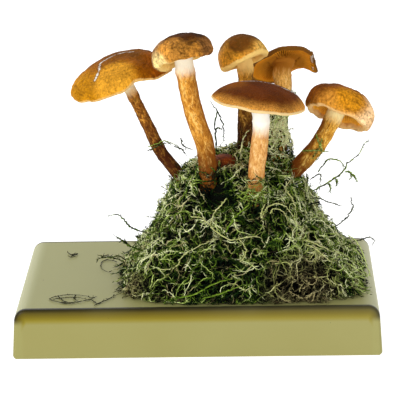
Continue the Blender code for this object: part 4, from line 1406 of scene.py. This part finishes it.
strays = {
    "strand_right": {
        "node": "moss_strand_right",
        "lines": (
            atDepth(4.0, (57.0, 64.5), (62.9, 68.1), (68.8, 71.7), (72.8, 74.5), (75.9, 79.7),
                    (80.8, 83.8), (84.2, 89.5), (86.2, 91.2)),
            atDepth(5.0, (60.8, 74.9), (63.9, 79.3), (65.8, 81.2), (69.5, 81.3), (72.2, 80.1),
                    (73.5, 78.2), (74.1, 76.3)),
            atDepth(4.0, (69.4, 71.5), (70.3, 70.0), (70.0, 67.7)),
            atDepth(4.0, (65.7, 69.4), (66.8, 67.8), (67.0, 64.6)),
            atDepth(4.0, (74.9, 75.6), (77.4, 74.0), (76.8, 71.1)),
            atDepth(4.0, (77.4, 74.0), (79.2, 72.4), (80.7, 69.8)),
        ),
        "thick": 0.66, "tone": 0.62, "age": 0.0,
    },
    "strand_left": {
        "node": "moss_strand_left",
        "lines": (
            atDepth(0.0, (-26.0, 46.0), (-31.7, 47.5), (-35.0, 49.6), (-36.9, 52.6), (-39.2, 54.9),
                    (-42.1, 55.4), (-45.6, 54.0)),
            atDepth(-8.0, (-28.0, 39.0), (-34.4, 41.1), (-38.2, 44.4), (-41.5, 46.7)),
        ),
        "thick": 0.62, "tone": 0.45, "age": 0.0,
    },
    "strand_forked": {
        "node": "moss_strand_forked",
        "lines": (
            atDepth(10.0, (9.2, 76.0), (9.6, 83.2), (9.6, 90.2), (9.2, 99.0), (10.3, 105.7), (8.3, 109.2),
                    (5.7, 112.5)),
            atDepth(10.0, (10.3, 105.7), (11.5, 104.2), (12.8, 101.1), (13.5, 97.7), (13.7, 93.3),
                    (13.4, 90.6), (11.8, 87.8)),
            atDepth(10.0, (9.5, 96.2), (11.1, 97.2), (13.1, 96.1)),
        ),
        "thick": 0.58, "tone": 0.38, "age": 0.0, "shoots": 3,
    },
    "strand_pale": {
        "node": "moss_strand_pale",
        "lines": (
            atDepth(-4.0, (25.1, 72.0), (24.6, 78.0), (22.6, 84.0), (22.2, 88.5), (23.4, 94.0),
                    (26.0, 99.4)),
        ),
        "thick": 1.05, "tone": 0.9, "age": 0.35,
    },
    "moss_sprigs": {
        "lines": (
            atDepth(0.0, (54.9, 75.4), (55.5, 72.2), (54.5, 67.4)),
            atDepth(0.0, (56.7, 72.5), (61.3, 75.3), (61.9, 72.1), (61.6, 67.3)),
            atDepth(2.0, (56.0, 62.0), (60.4, 62.2), (65.0, 60.4), (68.7, 59.1), (71.1, 58.3),
                    (74.5, 58.6)),
            atDepth(5.0, (69.0, 46.0), (74.0, 49.6), (77.1, 53.9), (78.3, 56.5), (77.4, 59.4),
                    (78.0, 61.9)),
            atDepth(4.0, (-24.6, 87.5), (-20.3, 89.2), (-16.4, 91.1), (-12.0, 91.0)),
            atDepth(2.0, (-11.1, 90.0), (-7.7, 88.5), (-4.9, 85.0)),
            atDepth(0.0, (-7.8, 94.9), (-6.2, 90.5), (-1.0, 88.2)),
            atDepth(-15.0, (-36.0, 36.0), (-39.4, 38.1), (-46.6, 37.4), (-48.5, 38.6)),
            ((-37.1, -11.9, 34.2), (-42.4, -10.0, 35.5), (-47.7, -10.0, 36.0), (-51.1, -10.0, 34.5)),
            ((-35.6, 0.0, 38.6), (-36.4, -8.0, 43.5), (-40.3, -8.0, 45.6)),
            ((71.0, -6.7, 39.0), (78.6, -6.7, 41.7), (82.2, -8.0, 43.2), (85.7, -10.0, 44.6),
             (88.4, -10.0, 43.0), (87.6, -10.0, 41.0)),
        ),
        "thick": 0.52, "tone": 0.3, "age": 0.2,
    },
    "stem_sprigs": {  # bits of moss that cling to the stems
        "lines": (
            ((59.9, -4.2, 97.0), (60.5, -4.2, 93.6), (62.3, -3.6, 89.2), (61.1, -2.4, 84.4),
             (58.7, -2.0, 81.5)),
            ((62.5, -4.3, 94.7), (61.4, -4.5, 90.3), (59.8, -3.6, 87.2), (57.8, -3.2, 84.0)),
            ((52.8, -1.1, 87.6), (57.5, -3.8, 88.4), (63.2, -2.8, 87.7), (65.7, -0.6, 86.6)),
            ((-24.5, 6.0, 88.8), (-20.6, 5.6, 90.2), (-16.4, 6.0, 91.8), (-12.4, 6.0, 90.7),
             (-8.4, 6.0, 88.1)),
        ),
        "thick": 0.5, "tone": 0.7, "age": 0.0,
    },
    "moss_ropes": {  # long strands that stand out on the front of the mound
        "lines": (
            ((14.5, -38.4, 57.2), (16.6, -36.1, 60.8), (20.7, -33.1, 64.9), (27.1, -29.8, 68.5),
             (33.1, -29.0, 70.2)),
            ((-10.3, -53.3, 27.5), (-1.4, -54.2, 29.7), (6.3, -52.3, 34.3), (14.3, -51.6, 37.0),
             (22.2, -51.4, 37.8)),
            ((2.6, -54.1, 27.7), (10.3, -54.9, 29.9), (16.4, -54.3, 32.4), (23.2, -52.6, 34.8)),
        ),
        "thick": 0.85, "tone": 0.55, "age": 0.0, "proud": 1.0,
    },
    "moss_straws": {  # pale, half dry strands
        "lines": (
            ((-19.3, -43.1, 40.5), (-13.3, -45.1, 40.7), (-9.3, -44.3, 43.2), (-7.1, -43.0, 46.4),
             (0.6, -40.4, 51.0), (6.5, -39.8, 53.3), (11.6, -39.5, 54.5)),
            ((-3.8, -28.3, 63.1), (2.3, -31.3, 62.9), (8.7, -37.6, 58.0), (16.6, -39.6, 54.4),
             (26.1, -38.7, 55.3), (31.4, -39.0, 54.5), (34.0, -41.5, 51.0)),
            ((34.1, -29.2, 68.3), (31.9, -31.0, 64.6), (32.6, -32.9, 61.7), (33.4, -35.5, 58.1)),
            ((32.7, -31.8, 63.5), (34.5, -30.1, 66.2), (39.7, -27.8, 68.2), (44.1, -27.0, 68.0),
             (47.4, -28.9, 64.5), (50.2, -31.6, 59.3)),
            ((36.4, -30.5, 63.9), (39.2, -28.5, 66.0), (43.2, -29.7, 64.6), (45.2, -32.2, 60.1)),
            ((14.5, -25.3, 71.2), (12.5, -27.5, 68.9), (8.4, -30.3, 65.6), (6.5, -34.2, 61.6),
             (8.7, -37.6, 58.0)),
            ((21.3, -46.1, 44.4), (24.1, -43.8, 47.5), (23.2, -41.0, 51.8), (20.5, -39.4, 54.3),
             (21.7, -38.0, 56.9)),
            ((44.1, -18.9, 74.1), (47.1, -20.4, 70.3), (49.7, -24.5, 66.6), (50.1, -28.7, 62.3)),
            ((53.4, -35.1, 52.5), (57.0, -34.5, 51.4), (60.4, -34.0, 49.8), (65.1, -33.4, 46.5),
             (70.4, -33.3, 44.2)),
            ((54.0, -36.5, 50.5), (58.9, -37.2, 48.6), (63.4, -37.9, 44.6), (66.9, -39.2, 42.0)),
        ),
        "thick": 0.5, "tone": 0.85, "age": 0.45, "proud": 1.4,
    },
    "moss_hoops": {  # yellow strands that reach out on the right
        "lines": (
            ((75.4, -6.8, 45.1), (78.8, -8.0, 42.6), (82.0, -11.0, 38.0), (84.4, -16.0, 31.5),
             (85.0, -20.0, 28.4), (80.9, -26.0, 30.0), (74.3, -38.9, 36.3)),
            ((74.4, -6.0, 39.2), (77.3, -8.0, 38.7), (80.2, -10.0, 36.7), (83.0, -14.0, 33.2),
             (85.2, -20.0, 29.8)),
            ((67.7, -40.0, 31.6), (72.7, -36.0, 32.9), (77.9, -30.0, 33.5), (83.6, -24.0, 35.2)),
            ((73.5, -40.0, 29.0), (77.4, -40.0, 27.9), (80.8, -41.0, 26.6), (85.1, -43.0, 25.2)),
            ((77.2, -10.0, 35.7), (79.4, -16.0, 33.8), (81.7, -22.0, 30.4), (82.4, -28.0, 27.1)),
            ((72.6, -26.0, 37.0), (76.5, -28.0, 35.5), (80.3, -30.0, 33.0), (83.8, -30.0, 30.9)),
            ((69.9, -20.0, 40.4), (73.8, -20.0, 38.3), (76.7, -22.0, 35.7), (78.5, -26.0, 32.8)),
            ((75.2, -34.0, 30.2), (78.8, -32.0, 31.5), (81.8, -31.0, 30.2), (84.8, -29.0, 31.0)),
            ((76.9, -39.2, 28.1), (80.3, -36.4, 25.4), (83.1, -35.4, 25.2), (86.4, -39.0, 25.0)),
            ((75.4, -41.0, 30.2), (79.7, -36.6, 28.0), (82.6, -33.0, 25.6), (85.3, -31.6, 25.2)),
        ),
        "thick": 0.42, "tone": 0.8, "age": 0.0, "shoots": 8,
    },
    "moss_tuft": {  # strands that cross the foot of the front stem
        "lines": (
            ((20.0, -26.0, 70.5), (23.5, -29.0, 74.0), (27.0, -29.5, 75.4), (30.0, -29.5, 74.2),
             (34.5, -28.0, 71.0)),
            ((23.0, -26.0, 67.0), (25.5, -29.5, 72.0), (28.0, -30.0, 74.5), (29.0, -30.0, 77.0)),
            ((34.5, -26.0, 68.5), (31.5, -29.5, 72.5), (30.0, -30.0, 74.0), (27.0, -29.5, 76.5)),
            ((21.0, -27.0, 75.0), (25.0, -29.8, 72.8), (28.5, -30.0, 72.2), (31.0, -29.5, 70.5),
             (35.0, -27.0, 68.0)),
            ((25.0, -27.0, 66.0), (27.5, -30.0, 70.5), (30.5, -30.0, 72.5), (33.0, -29.0, 75.5)),
            ((19.5, -27.0, 73.0), (23.0, -29.3, 71.0), (26.5, -30.0, 70.2), (30.0, -30.0, 69.2)),
            ((28.5, -27.5, 65.5), (29.5, -30.2, 71.0), (28.0, -30.2, 73.5), (25.5, -29.5, 77.0)),
            ((36.0, -26.0, 73.0), (32.0, -29.5, 74.5), (29.0, -30.0, 73.2), (26.0, -29.5, 74.0)),
            ((22.5, -27.0, 69.0), (24.8, -29.5, 73.5), (25.6, -29.5, 76.4), (24.4, -29.0, 78.6)),
            ((33.0, -27.0, 67.0), (33.2, -29.5, 71.5), (32.4, -29.5, 75.0), (33.4, -29.0, 77.6)),
        ),
        "thick": 0.5, "tone": 0.62, "age": 0.1, "shoots": 10,
    },
    "moss_scraps": {  # loose bits that lie on the base
        "lines": (
            onLid((-72.8, -42.7), (-70.1, -38.9), (-66.3, -36.9), (-61.9, -36.5), (-57.4, -37.3),
                  (-53.8, -39.5), (-52.1, -43.5)),
            onLid((-72.8, -42.7), (-70.1, -46.0), (-66.5, -48.2), (-62.5, -48.8), (-58.7, -47.7),
                  (-54.9, -46.0), (-51.1, -43.6)),
            onLid((-66.9, -48.5), (-63.9, -50.3), (-60.5, -49.8), (-57.2, -47.5)),
            onLid((-70.8, -43.1), (-66.5, -41.4), (-62.1, -40.6), (-57.6, -41.7), (-54.0, -44.1)),
            onLid((-68.7, -38.1), (-66.3, -44.3), (-64.0, -48.8)),
            onLid((-59.9, -36.9), (-60.5, -42.6), (-57.7, -47.4)),
            onLid((-53.8, -39.6), (-51.7, -42.0), (-50.2, -41.4)),
            ((-54.9, -45.6, 25.0), (-52.0, -44.5, 25.0), (-48.7, -50.9, 25.0), (-45.9, -47.6, 25.0),
             (-41.9, -40.7, 25.0), (-37.7, -36.1, 25.6), (-33.4, -33.1, 27.0)),
            onLid((-50.0, -53.7), (-47.3, -49.4), (-43.7, -44.5), (-40.0, -40.2)),
            onLid((-69.2, 35.7), (-67.1, 31.7), (-65.3, 29.1), (-63.4, 27.3)),
            onLid((-63.5, 33.3), (-65.2, 31.6), (-66.8, 28.1), (-67.2, 26.7)),
            onLid((-67.1, 31.7), (-65.5, 32.0), (-63.3, 30.1)),
            onLid((-51.2, 26.8), (-49.2, 29.2), (-46.6, 27.7), (-43.4, 26.5)),
            onLid((-42.4, 17.6), (-46.2, 21.3), (-49.3, 20.4), (-50.5, 14.5), (-49.5, 6.5), (-46.7, 1.3),
                  (-43.1, 0.5)),
        ),
        "thick": 0.3, "tone": 0.08, "age": 0.3, "shoots": 4, "wobble": 0.12,
    },
}
strayRings = 31
strayMiddle = (22.0, 0.0, 55.0)  # the strands' painted lit ridges face away from here


def buildStrays(material, chance, tree):
    for name, stray in strays.items():
        rows = []
        for line in stray["lines"]:
            points = [Vector(point) for point in line]
            if "proud" in stray:  # laid on the mound's own surface
                nearest = [tree.find_nearest(point) for point in points]
                points = [place + out * stray["proud"] for place, out, _, _ in nearest]
            rows.append([along(points, i / (strayRings - 1)) for i in range(strayRings)])
        lines = np.array(rows)
        wobble = stray.get("wobble", 0.25)
        lines[:, 1:] += chance.normal(0, wobble, lines[:, 1:].shape) * np.array((1.0, 1.0, 0.4))
        lines[..., 2] = np.maximum(lines[..., 2], mossFoot + 0.15)
        faces = unit(lines - np.array(strayMiddle) + np.array((0.0, 0.0, 20.0)))
        thick = chance.uniform(0.85, 1.15, len(lines)) * stray["thick"]
        widths = leafy(chance, lines, thick, 0.75)
        ones = np.ones_like(widths)
        values = {
            "tone": ones * stray["tone"],
            "age": ones * stray["age"],
            "deep": ones * 0.0,
            "tip": np.broadcast_to(np.linspace(0, 1, strayRings), widths.shape),
        }
        nodes = (stray["node"],) if "node" in stray else ()
        sweep(name, lines, widths, faces, values, material, nodes)
        shoots, widths, faces, values = sideShoots(chance, lines, faces, values, stray.get("shoots", 14))
        sweep(name + "_shoots", shoots, widths, faces, values, material)


# Floor, lamps and sky
def buildFloor():
    shape = bmesh.new()
    bmesh.ops.create_grid(shape, x_segments=1, y_segments=1, size=studio["floorSize"] / 2)
    bmesh.ops.translate(shape, vec=(0, 0, -studio["floorDrop"]), verts=shape.verts)
    mesh = meshFrom("floor", shape)
    made, start = newMaterial("white_floor")
    tone, glow = studio["floorColour"], studio["floorGlow"]
    closeMaterial(
        start, Base_Color=(tone, tone, tone, 1.0), Roughness=0.9, Specular_IOR_Level=0.1,
        Emission_Color=(1.0, 1.0, 1.0, 1.0), Emission_Strength=glow,
    )
    mesh.materials.append(made)
    floor = newObject("floor", mesh)


def buildLight():
    for name, (place, aim, size, power) in studio["lamps"].items():
        lamp = bpy.data.lights.new(name, "AREA")
        lamp.shape = "DISK"
        lamp.size = size * mm
        lamp.energy = power
        holder = newObject(name, lamp)
        holder.location = Vector(place) * mm
        holder.rotation_euler = (Vector(aim) - Vector(place)).to_track_quat("-Z", "Y").to_euler()
    world = bpy.data.worlds.new("white_room")
    bpy.context.scene.world = world
    world.use_nodes = True
    world.node_tree.nodes.clear()
    start = Wire(world.node_tree)
    direction = start.node("TexCoord", output="Generated")
    deep, high = direction.axis("Y"), direction.axis("Z")
    across = deep.between(-0.5, 0.6) * (studio["skyBack"] - studio["skyFront"]) + studio["skyFront"]
    overhead = high.between(0.5, 0.95)
    bright = across * (1 - overhead) + overhead * studio["skyTop"]
    background = start.node("Background", None, {"Color": bright, "Strength": 1.0})
    start.node("OutputWorld", None, {"Surface": background})


bpy.context.scene.view_settings.view_transform = "Standard"
buildFloor()
buildLight()
print("floor and light placed")
buildBase()
print("base made")
for key, entry in mushrooms.items():
    buildStem(key, entry)
    buildCap(key, entry)
    print("mushroom made:", key)
buildButton()
strandMaterial, luck, moundTree = buildMoss()
buildStrays(strandMaterial, luck, moundTree)
print("moss made")
